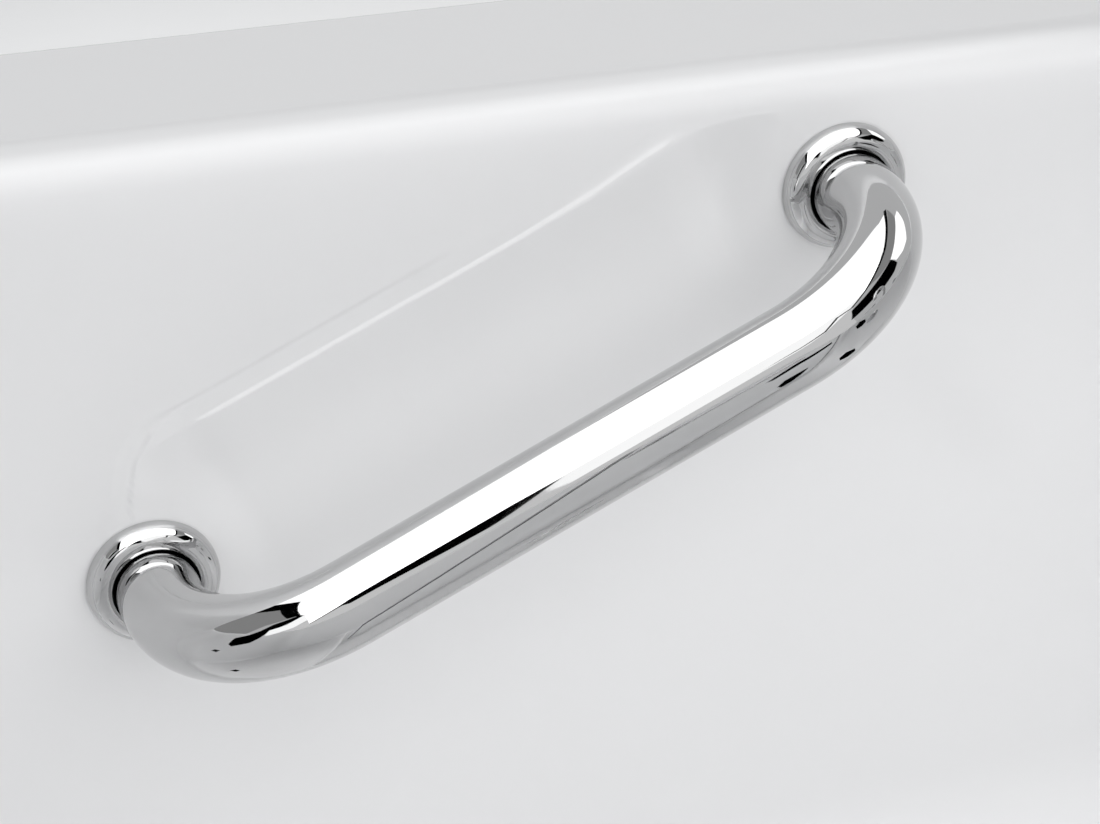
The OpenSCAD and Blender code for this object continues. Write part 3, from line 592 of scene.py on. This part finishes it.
# rim: quarter round between wall and deck
loop = plan_loop(0)
rim_rows = []
for ph in PHI:
    row = []
    for x, y, nx, ny in loop:
        o = RIM * (1 - math.cos(ph))
        row.append(sk.at((x + o * nx, y + o * ny, ZT - RIM + RIM * math.sin(ph)),
                         (-nx * math.cos(ph), -ny * math.cos(ph), math.sin(ph))))
    rim_rows.append(row)
sk.grid(rim_rows)

# outer edge of the deck: small round, then the turned-down lip
RE = 6.0


def outer_loop(g):
    r = 22.0 - g
    q = [(-59.0, YF + g, 0, -1)]
    q += arc(-HL + 22, YF + 22, r, 270, 180, 8)
    q += arc(-HL + 22, YB - 22, r, 180, 90, 8)
    q += arc(HL - 22, YB - 22, r, 90, 0, 8)
    q += arc(HL - 22, YF + 22, r, 0, -90, 8)
    q += [(399.0, YF + g, 0, -1)]
    return q


rows = []
for ph in np.radians(np.linspace(90, 0, 7)):
    rows.append([sk.at((x + RE * math.cos(ph) * nx, y + RE * math.cos(ph) * ny, ZT - RE + RE * math.sin(ph)),
                       (nx * math.cos(ph), ny * math.cos(ph), math.sin(ph)), 5.6 if ph < 1.5 else WALL)
                 for x, y, nx, ny in outer_loop(RE)])
rows.append([sk.at((x, y, ZT - LIP), (nx, ny, 0), 5.6) for x, y, nx, ny in outer_loop(0)])
sk.grid(rows)

# deck
up = (0, 0, 1)
deck = rim_rows[-1][::-1]                      # from the doorway's left side round to its right side
jl = [sk.at((-29.0, -331.0, ZT), up), sk.at((-59.0, -331.0, ZT), up)]
jr = [sk.at((399.0, -331.0, ZT), up), sk.at((369.0, -331.0, ZT), up)]
outline = jl + rows[0] + jr + rim_rows[-1]
holes = []
for k in (-1, 0, 1):
    holes.append([sk.at((TAP_X + 16 * a[2], YC + k * PITCH + 16 * a[3], ZT), up) for a in arc(0, 0, 1, 0, 348.75, 31)])
sk.flat([outline] + holes, lambda p: (p[0], p[1]))

# profile under the bather: seat, front of the seat, foot well. (x, z, nx, nz) with the normal into the material
prof = [(WX0 + RL, SEAT_Z, 0, -1)]
prof += [(-125 + 25 * c, 505 + 25 * s, -c, -s) for _, _, c, s in arc(0, 0, 1, 90, 0, 10)]
prof += [(-40 + 60 * c, 160 + 60 * s, c, s) for _, _, c, s in arc(0, 0, 1, 180, 270, 12)]
prof += [(WX1 - RR, FLOOR_Z, 0, -1)]

# ring where the walls turn into seat and floor: centre of the rounding, wall direction, floor direction
ring = []
for x, z, nx, nz in prof[::-1]:
    ring.append(((x - RB * nx, WY1 - RB, z - RB * nz), (0, 1, 0), (nx, 0, nz)))
for cx, cy, c, s in arc(WX0 + RL, WY1 - RL, RL - RB, 90, 180, 18)[1:]:
    ring.append(((cx, cy, SEAT_Z + RB), (c, s, 0), (0, 0, -1)))
for cx, cy, c, s in arc(WX0 + RL, WY0 + RL, RL - RB, 180, 270, 18):
    ring.append(((cx, cy, SEAT_Z + RB), (c, s, 0), (0, 0, -1)))
for x, z, nx, nz in prof[1:]:
    ring.append(((x - RB * nx, WY0 + RB, z - RB * nz), (0, -1, 0), (nx, 0, nz)))
for cx, cy, c, s in arc(WX1 - RR, WY0 + RR, RR - RB, 270, 360, 14)[1:]:
    ring.append(((cx, cy, FLOOR_Z + RB), (c, s, 0), (0, 0, -1)))
for cx, cy, c, s in arc(WX1 - RR, WY1 - RR, RR - RB, 0, 90, 14)[:-1]:
    ring.append(((cx, cy, FLOOR_Z + RB), (c, s, 0), (0, 0, -1)))
rows = []
for ph in PHI:
    row = []
    for c, nw, nb in ring:
        d = np.array(nw) * math.cos(ph) + np.array(nb) * math.sin(ph)
        row.append(sk.at(np.array(c) + RB * d, -d))
    rows.append(row)
sk.grid(rows, closed=True)
wall_edge, floor_edge = rows[0], rows[-1]
NP, N18, N14 = len(prof), 18, 14
i0 = 0
back_low = wall_edge[0:NP]                                       # floor end to seat end
left_a = wall_edge[NP - 1:NP + N18]                              # corner behind the bather, wall side
left_b = wall_edge[NP + N18:NP + N18 + N18 + 1]                  # corner behind the bather, door side
front_low = wall_edge[NP + 2 * N18:2 * NP + 2 * N18]
right_b = wall_edge[2 * NP + 2 * N18 - 1:2 * NP + 2 * N18 + N14]
right_a = (wall_edge + wall_edge[:1])[2 * NP + 2 * N18 + N14:2 * NP + 2 * N18 + 2 * N14 + 1]

top = rim_rows[0]
t_front_r = top[0]
t_rb = top[1:2 + N14]
t_ra = top[2 + N14:3 + 2 * N14]
t_la = top[3 + 2 * N14:4 + 2 * N14 + N18]
t_lb = top[4 + 2 * N14 + N18:5 + 2 * N14 + 2 * N18]
t_front_l = top[-1]
sk.grid([t_la, left_a])
sk.grid([t_lb, left_b])
sk.grid([t_rb, right_b])
sk.grid([t_ra, right_a])
sk.face([t_la[-1], t_lb[0], left_b[0], left_a[-1]])              # end wall behind the bather

# tap end wall with the overflow hole
hole = [sk.at((WX1, YC + 26 * c, OVER_Z + 26 * s), (-1, 0, 0)) for _, _, c, s in arc(0, 0, 1, 0, 348.75, 31)]
sk.flat([[t_rb[-1], t_ra[0], right_a[0], right_b[-1]], hole], lambda p: (p[1], p[2]))

# wall on the door side, with the doorway
door_cut = [sk.at((-29.0, WY0, 240.0), (0, 1, 0))]
door_cut += [sk.at((8 + 37 * c, WY0, 240 + 37 * s), (0, 1, 0)) for _, _, c, s in arc(0, 0, 1, 180, 270, 10)]
door_cut += [sk.at((332 + 37 * c, WY0, 240 + 37 * s), (0, 1, 0)) for _, _, c, s in arc(0, 0, 1, 270, 360, 10)]
door_cut = list(dict.fromkeys(door_cut))
sk.flat([[t_lb[-1], t_front_l] + door_cut + [t_front_r, t_rb[0]] + front_low[::-1]], lambda p: (p[0], p[2]))

# seat, its front, foot well
seat_loop = floor_edge[NP - 2:NP + 2 * N18 + 2]
sk.flat([seat_loop], lambda p: (p[0], p[1]))
ya, yb_ = floor_edge[0:NP][::-1], floor_edge[NP + 2 * N18:2 * NP + 2 * N18]
sk.grid([ya[1:-1], yb_[1:-1]])
floor_loop = floor_edge[2 * NP + 2 * N18 - 2:] + floor_edge[:2]
hole = [sk.at((DRAIN_X + 23 * c, YC + 23 * s, FLOOR_Z), up) for _, _, c, s in arc(0, 0, 1, 0, 348.75, 31)]
sk.flat([floor_loop, hole], lambda p: (p[0], p[1]))

# wall with the bar. The front has the relief, the back is plain with a thicker pad
wall_loop = [t_ra[-1]] + [t_la[0]] + back_low[::-1]
FRONT = len(sk.f)


def wall_xz(p):
    return (p[0], p[2])


g_u = US
s_rows = np.concatenate([[11.5, 10.6, 9.7, 8.8, 7.9, 7.0, 6.0, 5.0, 4.0, 3.0, 2.3, 1.7, 1.2, 0.8, 0.4, 0.0, -0.4, -0.8,
                          -1.3, -1.9, -2.7, -3.8, -5.2, -7, -9.5, -12.5, -16, -20, -25, -30, -36, -42, -49, -56, -64,
                          -72, -80, -88, -96, -104, -110, -116]])
cv = crest_v(g_u)
down = np.maximum(0.0, cv + 11.5 - (top_limit(g_u) - 1.0))
G = []
for s in s_rows:
    vv = cv + s - down * np.clip((s + 20) / 31.5, 0, 1)
    if s < -20:
        vv = cv - 20 + (s + 20) / (116 - 20) * (cv - 20 + 66.0)
    G.append(vv)
G = np.array(G)
GU = np.tile(g_u, (len(s_rows), 1))
edge_fade = step1(GU, US[0], US[0] + 14) * (1 - step1(GU, US[-1] - 12, US[-1]))
edge_fade *= step1(np.arange(len(s_rows)), 0, 2.0)[:, None] * (1 - step1(np.arange(len(s_rows)), len(s_rows) - 4.0, len(s_rows) - 1.0))[:, None]
e = 0.15
H = relief(GU, G) * edge_fade
HU = (relief(GU + e, G) - relief(GU - e, G)) / (2 * e) * edge_fade
HV = (relief(GU, G + e) - relief(GU, G - e)) / (2 * e) * edge_fade
PT = on_wall(np.stack([GU, G, H], -1))
NT = -HU[..., None] * U - HV[..., None] * V + W
NT /= np.linalg.norm(NT, axis=-1, keepdims=True)
ids = [[sk.at(PT[r, c], NT[r, c]) for c in range(len(g_u))] for r in range(len(s_rows))]
patch_edge = (ids[0] + [row[-1] for row in ids[1:]] + ids[-1][-2::-1] + [row[0] for row in ids[-2:0:-1]])
back_edge = patch_edge[:]
sk.flat([wall_loop, patch_edge], wall_xz)
sk.grid(ids)
front_faces = list(sk.f)

# back of the laminate
keep = len(sk.f)
sk.f = sk.f[:FRONT]
pad_o = [sk.at(on_wall([x, y, 0.0]), W, WALL) for x, y, _, _ in
         arc(BAR_L - 23, 10, 58, 0, 90, 8) + arc(23, 10, 58, 90, 180, 8) + arc(23, -10, 58, 180, 270, 8) + arc(BAR_L - 23, -10, 58, 270, 360, 8)
         if on_wall([x, y, 0.0])[2] < 944]
pad_in = []
for i in pad_o:
    q = sk.p[i] - P0
    uu, vv = q @ U, q @ V
    pad_in.append(sk.at(on_wall([(uu - BAR_L / 2) * 0.975 + BAR_L / 2, vv * 0.92, 0.0]), W, WALL + 4))
sk.flat([wall_loop, pad_o], wall_xz)
sk.grid([pad_o, pad_in], closed=True)
sk.flat([pad_in], wall_xz)
back_faces = list(sk.f)

P = np.array(sk.p)
N = np.array(sk.n)
N /= np.linalg.norm(N, axis=1, keepdims=True)
T = np.array(sk.t)
NV = len(P)
verts = np.concatenate([P, P - N * T[:, None]])
faces, norms, index = [], [], []
for f in front_faces:
    faces.append(f)
    norms += [N[i] for i in f]
    index.append(0)
for f in back_faces:
    faces.append(tuple(i + NV for i in f[::-1]))
    norms += [-N[i] for i in f[::-1]]
    index.append(1)
used = {}
for f in front_faces:
    for a, b in zip(f, f[1:] + f[:1]):
        used[(a, b)] = used.get((a, b), 0) + 1
for (a, b), _ in used.items():
    if (b, a) not in used:
        q = (b, a, a + NV, b + NV)
        g = np.cross(verts[q[1]] - verts[q[0]], verts[q[3]] - verts[q[0]])
        g /= np.linalg.norm(g) or 1
        faces.append(q)
        norms += [g] * 4
        index.append(0)
live = sorted({i for f in faces for i in f})
renum = {i: k for k, i in enumerate(live)}
shell = make("shell_moulding", verts[live], [tuple(renum[i] for i in f) for f in faces], norms,
             ("shell", "laminate"), index, nodes=("tub_shell",), slot="shell")


# ----------------------------------------------------------------------------
# Grab bar
# ----------------------------------------------------------------------------
def sweep(name, path, radii, segs, mat, **kw):
    """A tube on a list of (point, side, up) frames in the bar's frame, with exact normals. radii: (outer, inner)."""
    vs, fs, ns = [], [], []
    rings = len(path)
    for r, sign in ((radii[0], 1), (radii[1], -1)):
        for p, a, b in path:
            for k in range(segs):
                t = 2 * math.pi * k / segs
                d = a * math.cos(t) + b * math.sin(t)
                vs.append(p + r * d)
                ns.append(sign * d)
    off = rings * segs
    faces, normals = [], []
    for s in range(2):
        for i in range(rings - 1):
            for k in range(segs):
                j = (k + 1) % segs
                q = [s * off + i * segs + k, s * off + i * segs + j, s * off + (i + 1) * segs + j, s * off + (i + 1) * segs + k]
                if s == 1:
                    q = q[::-1]
                faces.append(q)
                normals += [ns[x] for x in q]
    for i, flip in ((0, False), (rings - 1, True)):
        axis = np.cross(path[i][1], path[i][2])
        for k in range(segs):
            j = (k + 1) % segs
            q = [i * segs + k, off + i * segs + k, off + i * segs + j, i * segs + j]
            if flip:
                q = q[::-1]
            faces.append(q)
            normals += [axis * (1 if flip else -1)] * 4
    v = np.array(vs)
    g = np.cross(v[faces[0][1]] - v[faces[0][0]], v[faces[0][3]] - v[faces[0][0]])
    if g @ ns[faces[0][0]] < 0:
        faces = [f[::-1] for f in faces]
        out = []
        k = 0
        for f in faces:
            out += normals[k:k + len(f)][::-1]
            k += len(f)
        normals = out
    return make(name, v, faces, normals, (mat,), **kw)


def bar_path():
    pts = [(0.0, 1.5, 0.0), (0.0, 8.0, 0.0), (0.0, 18.0, 0.0)]
    n = 56
    pts += [(BAR_R - BAR_R * math.cos(a), 18 + BAR_R * math.sin(a), a) for a in np.linspace(0, math.pi / 2, n)[1:]]
    pts += [(x, BAR_H, math.pi / 2) for x in np.linspace(BAR_R, BAR_L - BAR_R, 20)[1:]]
    pts += [(BAR_L - BAR_R + BAR_R * math.sin(a), 18 + BAR_R * math.cos(a), math.pi / 2 + a) for a in np.linspace(0, math.pi / 2, n)[1:]]
    pts += [(BAR_L, 8.0, math.pi), (BAR_L, 1.5, math.pi)]
    out = []
    for u, w, a in pts:
        side = -math.cos(a) * U + math.sin(a) * W
        out.append((on_wall([u, 0.0, w]), side, V))
    return out


sweep("grab_bar_tube", bar_path(), (BAR_A, BAR_A - 1.6), 128, "chrome", nodes=("grab_bar",), slot="chrome")


def lathe(profile, segs, centre, ax, sx):
    """Points and faces of a closed profile (r, h) turned about an axis, with smooth normals from the profile."""
    ax, sx = np.asarray(ax, float), np.asarray(sx, float)
    sy = np.cross(ax, sx)
    pr = np.array(profile, float)
    m = len(pr)
    vs = []
    for k in range(segs):
        t = 2 * math.pi * k / segs
        d = sx * math.cos(t) + sy * math.sin(t)
        vs += [centre + r * d + h * ax for r, h in pr]
    # profile normals, split at corners sharper than 35 degrees
    seg = np.roll(pr, -1, 0) - pr
    seg /= np.linalg.norm(seg, axis=1, keepdims=True) + 1e-12
    area = 0.5 * np.sum(pr[:, 0] * np.roll(pr[:, 1], -1) - np.roll(pr[:, 0], -1) * pr[:, 1])
    out = np.stack([seg[:, 1], -seg[:, 0]], 1) * (1 if area > 0 else -1)
    faces, norms = [], []
    for k in range(segs):
        j = (k + 1) % segs
        for i in range(m):
            i2 = (i + 1) % m
            na, nb = out[i], out[i]
            prev, nxt = out[i - 1], out[i2]
            if prev @ out[i] > math.cos(math.radians(35)):
                na = prev + out[i]
            if nxt @ out[i] > math.cos(math.radians(35)):
                nb = nxt + out[i]
            na, nb = na / np.linalg.norm(na), nb / np.linalg.norm(nb)
            q = [k * m + i, k * m + i2, j * m + i2, j * m + i]
            nn = []
            for (kk, v2) in ((k, na), (k, nb), (j, nb), (j, na)):
                t = 2 * math.pi * kk / segs
                d = sx * math.cos(t) + sy * math.sin(t)
                nn.append(v2[0] * d + v2[1] * ax)
            p = [np.asarray(vs[x]) for x in q]
            g = np.cross(p[1] - p[0], p[2] - p[0]) + np.cross(p[2] - p[0], p[3] - p[0])
            if g @ sum(nn) < 0:
                q, nn = q[::-1], nn[::-1]
            faces.append(q)
            norms += nn
    return vs, faces, norms


def smooth_profile(points, n):
    """Catmull-Rom through the points, open."""
    p = np.array([points[0], *points, points[-1]], float)
    out = []
    for i in range(1, len(p) - 2):
        for t in np.linspace(0, 1, n, endpoint=False):
            a, b, c, d = p[i - 1], p[i], p[i + 1], p[i + 2]
            out.append(0.5 * (2 * b + (c - a) * t + (2 * a - 5 * b + 4 * c - d) * t * t + (3 * b - a - 3 * c + d) * t ** 3))
    out.append(p[-2])
    return [tuple(x) for x in out]


CR = 25.5
cover_out = [(CR - 0.5, 0.0), (CR, 0.45), (CR, 1.2)]
cover_dome = smooth_profile([(CR, 1.2), (CR - 0.2, 3.2), (CR - 1.0, 5.2), (CR - 2.4, 7.0), (CR - 4.3, 8.2), (CR - 6.4, 8.55), (CR - 7.9, 8.3),
                             (CR - 8.75, 7.6), (CR - 9.05, 6.4), (CR - 9.1, 4.9)], 6)[1:]
cover_in = [(CR - 8.5, 4.9), (CR - 7.4, 6.2), (CR - 6.0, 7.1), (CR - 4.0, 6.2), (CR - 2.4, 4.4), (CR - 1.5, 2.4), (CR - 1.3, 0.0)]
vs, fs, ns = [], [], []
for uu in (0.0, BAR_L):
    v1, f1, n1 = lathe(cover_out + cover_dome + cover_in, 144, on_wall([uu, 0.0, 0.0]), W, U)
    base = len(vs)
    vs += v1
    fs += [[i + base for i in f] for f in f1]
    ns += n1
make("grab_bar_cover_pair", vs, fs, ns, ("chrome",), nodes=("grab_bar_covers",), slot="chrome")

# ----------------------------------------------------------------------------
# CAD nodes that stay: finish, smooth shading and softened edges
# ----------------------------------------------------------------------------
BEVEL = {
    "door_frame": 1.2, "front_apron": 1.5, "access_panel": 1.2, "left_end_panel": 1.5, "right_end_panel": 1.5,
    "frame_long_rails": 1.5, "frame_cross_rails": 1.5, "frame_uprights": 1.5, "seat_frame": 1.5, "seat_board": 0.8,
    "floor_board": 0.8, "door_outer_panel": 2.2, "door_inner_panel": 2.5, "door_seal": 1.2, "latch_lever": 1.2,
    "latch_cam": 0.8, "latch_thumb_turn": 1.5, "latch_keeper": 0.6, "grab_bar_backing_plate": 0.5,
}
SLOT = {s["node"]: s["material_slot"] for s in frame["record"]["subparts"]}
OWN = {
    "hinge_door_leaves": brushed("satin_hinge", (0.36, 0.364, 0.372), 0.24, "Z"),
    "hinge_door_screws": steel_bright("screw_steel", (0.24, 0.243, 0.25), 0.2),
    "access_panel_screws": steel_bright("screw_panel", (0.36, 0.363, 0.37), 0.2),
}
OWN["frame_uprights"] = brushed("mill_steel_upright", (0.50, 0.51, 0.52), 0.36, "Z")
OWN["hinge_frame_leaves"] = OWN["hinge_door_leaves"]
OWN["hinge_frame_screws"] = OWN["hinge_door_screws"]
for name, o in NODES.items():
    if o.hide_render:
        continue
    me = o.data
    me.materials.clear()
    me.materials.append(OWN.get(name) or M[SLOT[name]])
    me.polygons.foreach_set("material_index", np.zeros(len(me.polygons), np.int32))
    me.polygons.foreach_set("use_smooth", [True] * len(me.polygons))
    me.update()
    w = o.modifiers.new("weld", "WELD")
    w.merge_threshold = 1e-5
    d = o.modifiers.new("plane", "DECIMATE")
    d.decimate_type = "DISSOLVE"
    d.angle_limit = math.radians(0.4)
    b = o.modifiers.new("edge", "BEVEL")
    b.width = BEVEL.get(name, 0.4) / 1000
    b.segments = 2
    b.limit_method = "ANGLE"
    b.angle_limit = math.radians(32)
    b.use_clamp_overlap = True
    wn = o.modifiers.new("shade", "WEIGHTED_NORMAL")
    wn.mode = "FACE_AREA"
    wn.weight = 85
    wn.keep_sharp = False

# ----------------------------------------------------------------------------
# Stage: floor, lights, reflected cards
# ----------------------------------------------------------------------------
SCENE.view_settings.view_transform = "Standard"
SCENE.view_settings.look = "None"
SCENE.view_settings.exposure = 0.0
SCENE.view_settings.gamma = 1.0


def flat_material(name, colour, rough=0.8):
    n = Nodes(name)
    c = n.noise(1.4, 4.0, 0.6)
    return n.finish(n.mix(n.range(c, 0.3, 0.7, 0, 1), colour, tuple(x * 0.975 for x in colour)), rough,
                    n.bump(n.noise(40.0, 3.0, 0.5), 0.0002, 0.3))


def emitter(name, strength, colour=(1, 1, 1)):
    m = bpy.data.materials.new(name)
    m.use_nodes = True
    t = m.node_tree
    t.nodes.clear()
    o = t.nodes.new("ShaderNodeOutputMaterial")
    e_ = t.nodes.new("ShaderNodeEmission")
    e_.inputs["Color"].default_value = (*colour, 1)
    e_.inputs["Strength"].default_value = strength
    t.links.new(e_.outputs[0], o.inputs[0])
    return m


floor_me = bpy.data.meshes.new("floor")
floor_me.from_pydata([(-14, -14, 0), (14, -14, 0), (14, 14, 0), (-14, 14, 0)], [], [(0, 1, 2, 3)])
M["floor"] = flat_material("floor_pale", (0.80, 0.803, 0.806))
floor_me.materials.append(M["floor"])
floor = bpy.data.objects.new("floor", floor_me)
SCENE.collection.objects.link(floor)

world = bpy.data.worlds.new("world")
SCENE.world = world
world.use_nodes = True
bg = world.node_tree.nodes["Background"]
bg.inputs[0].default_value = (0.93, 0.94, 0.955, 1)
bg.inputs[1].default_value = 0.40


def area(name, at, aim, w, h, power, colour=(1, 1, 1)):
    ld = bpy.data.lights.new(name, "AREA")
    ld.shape = "RECTANGLE"
    ld.size, ld.size_y = w, h
    ld.energy = power
    ld.color = colour
    o = bpy.data.objects.new(name, ld)
    SCENE.collection.objects.link(o)
    o.location = at
    o.rotation_euler = (Vector(aim) - Vector(at)).to_track_quat("-Z", "Y").to_euler()
    o.visible_camera = False
    return o


BAR_MID = Vector(on_wall([152.0, 0.0, 80.0]) / 1000)
UV, VV, WV = Vector(U), Vector(V), Vector(W)


def on_dome(alpha, beta, r):
    """A place around the bar. alpha: in the plane across it, 0 out of the wall, 90 up it. beta: towards its upper end."""
    a, b = math.radians(alpha), math.radians(beta)
    return BAR_MID + r * ((WV * math.cos(a) + VV * math.sin(a)) * math.cos(b) + UV * math.sin(b))


def dome_card(name, outline, r, mat, step=4.0):
    """A card with a curved outline, bent round the bar, that only reflections see. outline: (alpha, beta) in degrees."""
    pts = [on_dome(a_, b_, 1.0) - BAR_MID for a_, b_ in outline]
    mid = sum(pts, Vector()).normalized()
    side = mid.cross(Vector((0.3, 0.2, 0.9))).normalized()
    over = mid.cross(side)
    flat2 = [Vector((p.dot(side), p.dot(over))) / (1 + p.dot(mid)) for p in pts]
    ring2, edges = [], []
    for k, p in enumerate(flat2):
        q = flat2[(k + 1) % len(flat2)]
        n = max(1, int((q - p).length / 0.04))
        ring2 += [p.lerp(q, j / n) for j in range(n)]
    edges = [(k, (k + 1) % len(ring2)) for k in range(len(ring2))]
    xs, ys = [p.x for p in ring2], [p.y for p in ring2]
    g = 0.06
    inner = [Vector((x, y)) for x in np.arange(min(xs) + g / 2, max(xs), g) for y in np.arange(min(ys) + g / 2, max(ys), g)]
    got = delaunay_2d_cdt(ring2 + inner, edges, [], 1, 1e-7)
    vs = []
    for p in got[0]:
        d2 = p.length_squared
        vs.append(BAR_MID + r * ((1 - d2) / (1 + d2) * mid + 2 / (1 + d2) * (p.x * side + p.y * over)))
    me = bpy.data.meshes.new(name)
    me.from_pydata([tuple(v) for v in vs], [], [tuple(f) for f in got[2]])
    me.materials.append(mat)
    o = bpy.data.objects.new(name, me)
    SCENE.collection.objects.link(o)
    o.visible_camera = o.visible_diffuse = o.visible_shadow = o.visible_transmission = False
    return o


white = emitter("card_white", 2.0)
soft_white = emitter("card_soft_white", 1.66)
black = emitter("card_black", 0.0)
grey = emitter("card_grey", 0.36)
dome_card("card_over", [(131, -22), (131, 0), (131, 20), (131, 40), (135, 44), (125, 52), (101, 61), (70, 61), (47, 56), (43.5, 45),
                        (43.5, 30), (43.5, 15), (43.5, 3), (44, 0), (44, -3.5), (42, -9), (41, -14), (36, -26), (61, -22.6),
                        (67, -24), (98, -16), (118, -17)], 1.5, white)
dome_card("card_over_low", [(90, -17.6), (90, 0), (90, 20), (90, 40), (90, 61), (70, 61), (47, 56), (43.5, 45), (43.5, 30), (43.5, 15),
                            (43.5, 3), (44, 0), (44, -3.5), (42, -9), (41, -14), (36, -26), (61, -22.6), (67, -24)], 1.495,
          emitter("card_bright", 3.4))
dome_card("card_front_right", [(44, 3), (44, 15), (44, 30), (44, 45), (47, 56), (33, 47), (28, 38), (22, 30), (19.5, 20), (19, 12),
                               (19, 4), (27, 3.2), (36, 3)], 1.49, soft_white)
dome_card("card_front_low", [(43.8, -60), (43.8, -30), (43.8, 0), (43.8, 30), (33, 47), (3, 46), (-20, 46), (-22, 20), (-22, 0),
                             (-22, -30), (-22, -60), (10, -66)], 1.6, emitter("card_pale", 0.92))
dome_card("flag_line", [(35.8, -26), (40.5, -14), (42.3, -9.3), (44.8, -3.5), (44.3, 0.5), (44.5, 1.8), (41.5, 3.8), (27, 1.6),
                        (23.5, 0.7), (26, -1), (33, -4), (39, -9), (38.6, -14), (34.6, -26)], 1.44, black)
dome_card("flag_left_grey", [(112, -38), (124, -26), (124, -17), (98, -15.7), (67, -24), (75, -36), (71, -52), (100, -50)], 1.46, grey)
dome_card("flag_left_black", [(124, -21), (124, -15.5), (98, -15.2), (65, -23.5), (70, -28), (98, -21)], 1.43, black)
dome_card("flag_left_low", [(66, -24), (60, -23), (58, -34), (54, -50), (62, -56), (66, -44), (70, -34)], 1.42, black)
dome_card("flag_right_curve", [(137, 43), (126, 51), (101, 60), (70, 60), (47, 55), (33.5, 46), (37, 36.5), (25, 29), (23, 13),
                               (21.5, 12), (22.5, 30), (34, 38), (31, 47.5), (46, 57.5), (70, 63), (101, 63), (127, 54), (139, 46)],
          1.44, black)
dome_card("flag_right_grey", [(139, 47), (127, 54), (101, 63), (70, 63), (47, 57), (49, 60), (49.4, 67), (72, 76), (96, 75), (124, 69),
                              (140, 60)], 1.46, grey)
dome_card("card_right_strip", [(150, 60), (141, 60), (124, 69), (96, 75), (72, 76), (42, 85), (-148, 86), (-164, 79), (165, 70)],
          1.47, white)
dome_card("flag_right_black", [(72, 76), (-8, 85.5), (-19, 80), (-7, 71), (1, 58), (2, 50), (3, 45), (25, 46.5), (31, 56), (35, 60.6),
                               (51, 70.6)], 1.42, black)

# small dark things close to the bar
for k, outline in enumerate((
        [(65, -71.6), (74, -64.7), (68, -60), (67, -53.3), (66, -43.3), (61, -37.6), (58, -44.2), (58, -53.4), (50, -60.8), (46, -66.2),
         (55, -73)],
        [(-10, 22.9), (-6, 26), (-9, 43.4), (-13, 43.2), (-12, 26.3), (-14, 23.6)],
        [(-37, 23.7), (-31, 24.5), (-32, 27.2), (-39, 26.3), (-44, 25.1), (-44, 24)],
        [(-67, 39.5), (-66, 42.9), (-78, 44.5), (-89, 42.3), (-87, 39.9), (-77, 38.2)],
        [(-21, 56.2), (-18, 58.8), (-26, 61.3), (-35, 60), (-35, 57.5), (-31, 55.6)],
        [(69, -81.2), (66, -79.1), (53, -79), (52, -81.5)],
        [(-81, -70.4), (-73, -70.2), (-75, -67.6), (-82, -67.3)])):
    dome_card("flag_near_%d" % k, outline, 0.3, black)

dome_card("card_near_left", [(51, -58.5), (60, -53.9), (56, -47.1), (61, -37.6), (46, -39.4), (43, -47), (44, -50), (48, -57)],
          0.295, soft_white)

# pale room that the camera and reflections see, but diffuse light does not
bm = bmesh.new()
bmesh.ops.create_icosphere(bm, subdivisions=5, radius=9.0)
me = bpy.data.meshes.new("room")
bm.to_mesh(me)
bm.free()
room_mat = emitter("room_pale", 0.68, (0.99, 0.995, 1.0))
room_t = room_mat.node_tree
room_c = room_t.nodes.new("ShaderNodeTexCoord")
room_s = room_t.nodes.new("ShaderNodeSeparateXYZ")
room_r = room_t.nodes.new("ShaderNodeMapRange")
room_r.interpolation_type = "SMOOTHSTEP"
for k, x in (("From Min", 0.0), ("From Max", 2.2), ("To Min", 0.33), ("To Max", 0.68)):
    room_r.inputs[k].default_value = x
room_t.links.new(room_c.outputs["Object"], room_s.inputs[0])
room_t.links.new(room_s.outputs["Z"], room_r.inputs["Value"])
room_t.links.new(room_r.outputs[0], next(x for x in room_t.nodes if x.type == "EMISSION").inputs["Strength"])
me.materials.append(room_mat)
me.polygons.foreach_set("use_smooth", [True] * len(me.polygons))
room_o = bpy.data.objects.new("room", me)
SCENE.collection.objects.link(room_o)
room_o.visible_diffuse = room_o.visible_shadow = room_o.visible_transmission = False

KEY = Vector((math.cos(math.radians(38)) * math.sin(math.radians(24)), -math.cos(math.radians(38)) * math.cos(math.radians(24)),
              math.sin(math.radians(38))))
AIM = Vector((0.0, 0.15, 0.8))
area("key", AIM + 3.6 * KEY, AIM, 4.4, 2.9, 64).visible_glossy = False
area("fill", (-2.6, -1.6, 2.6), (0, 0, 0.7), 2.4, 2.0, 7).visible_glossy = False
area("rear", (0.6, 3.2, 2.4), (0, 0, 0.6), 2.6, 2.0, 58).visible_glossy = False
area("inner_wall", (0.14, -0.285, 0.52), (0.14, 0.3, 0.54), 0.6, 0.5, 0.93).visible_glossy = False
area("rim_line", (-0.06, 0.2675, 0.9625), (-0.06, 0.296, 0.948), 0.98, 0.006, 0.0145).visible_glossy = False
area("inner_front", (-0.06, 0.262, 0.58), (-0.06, -0.3, 0.62), 0.86, 0.45, 0.86).visible_glossy = False
area("inner_well", (0.17, -0.01, 0.62), (0.17, -0.01, 0.1), 0.4, 0.4, 0.34).visible_glossy = False
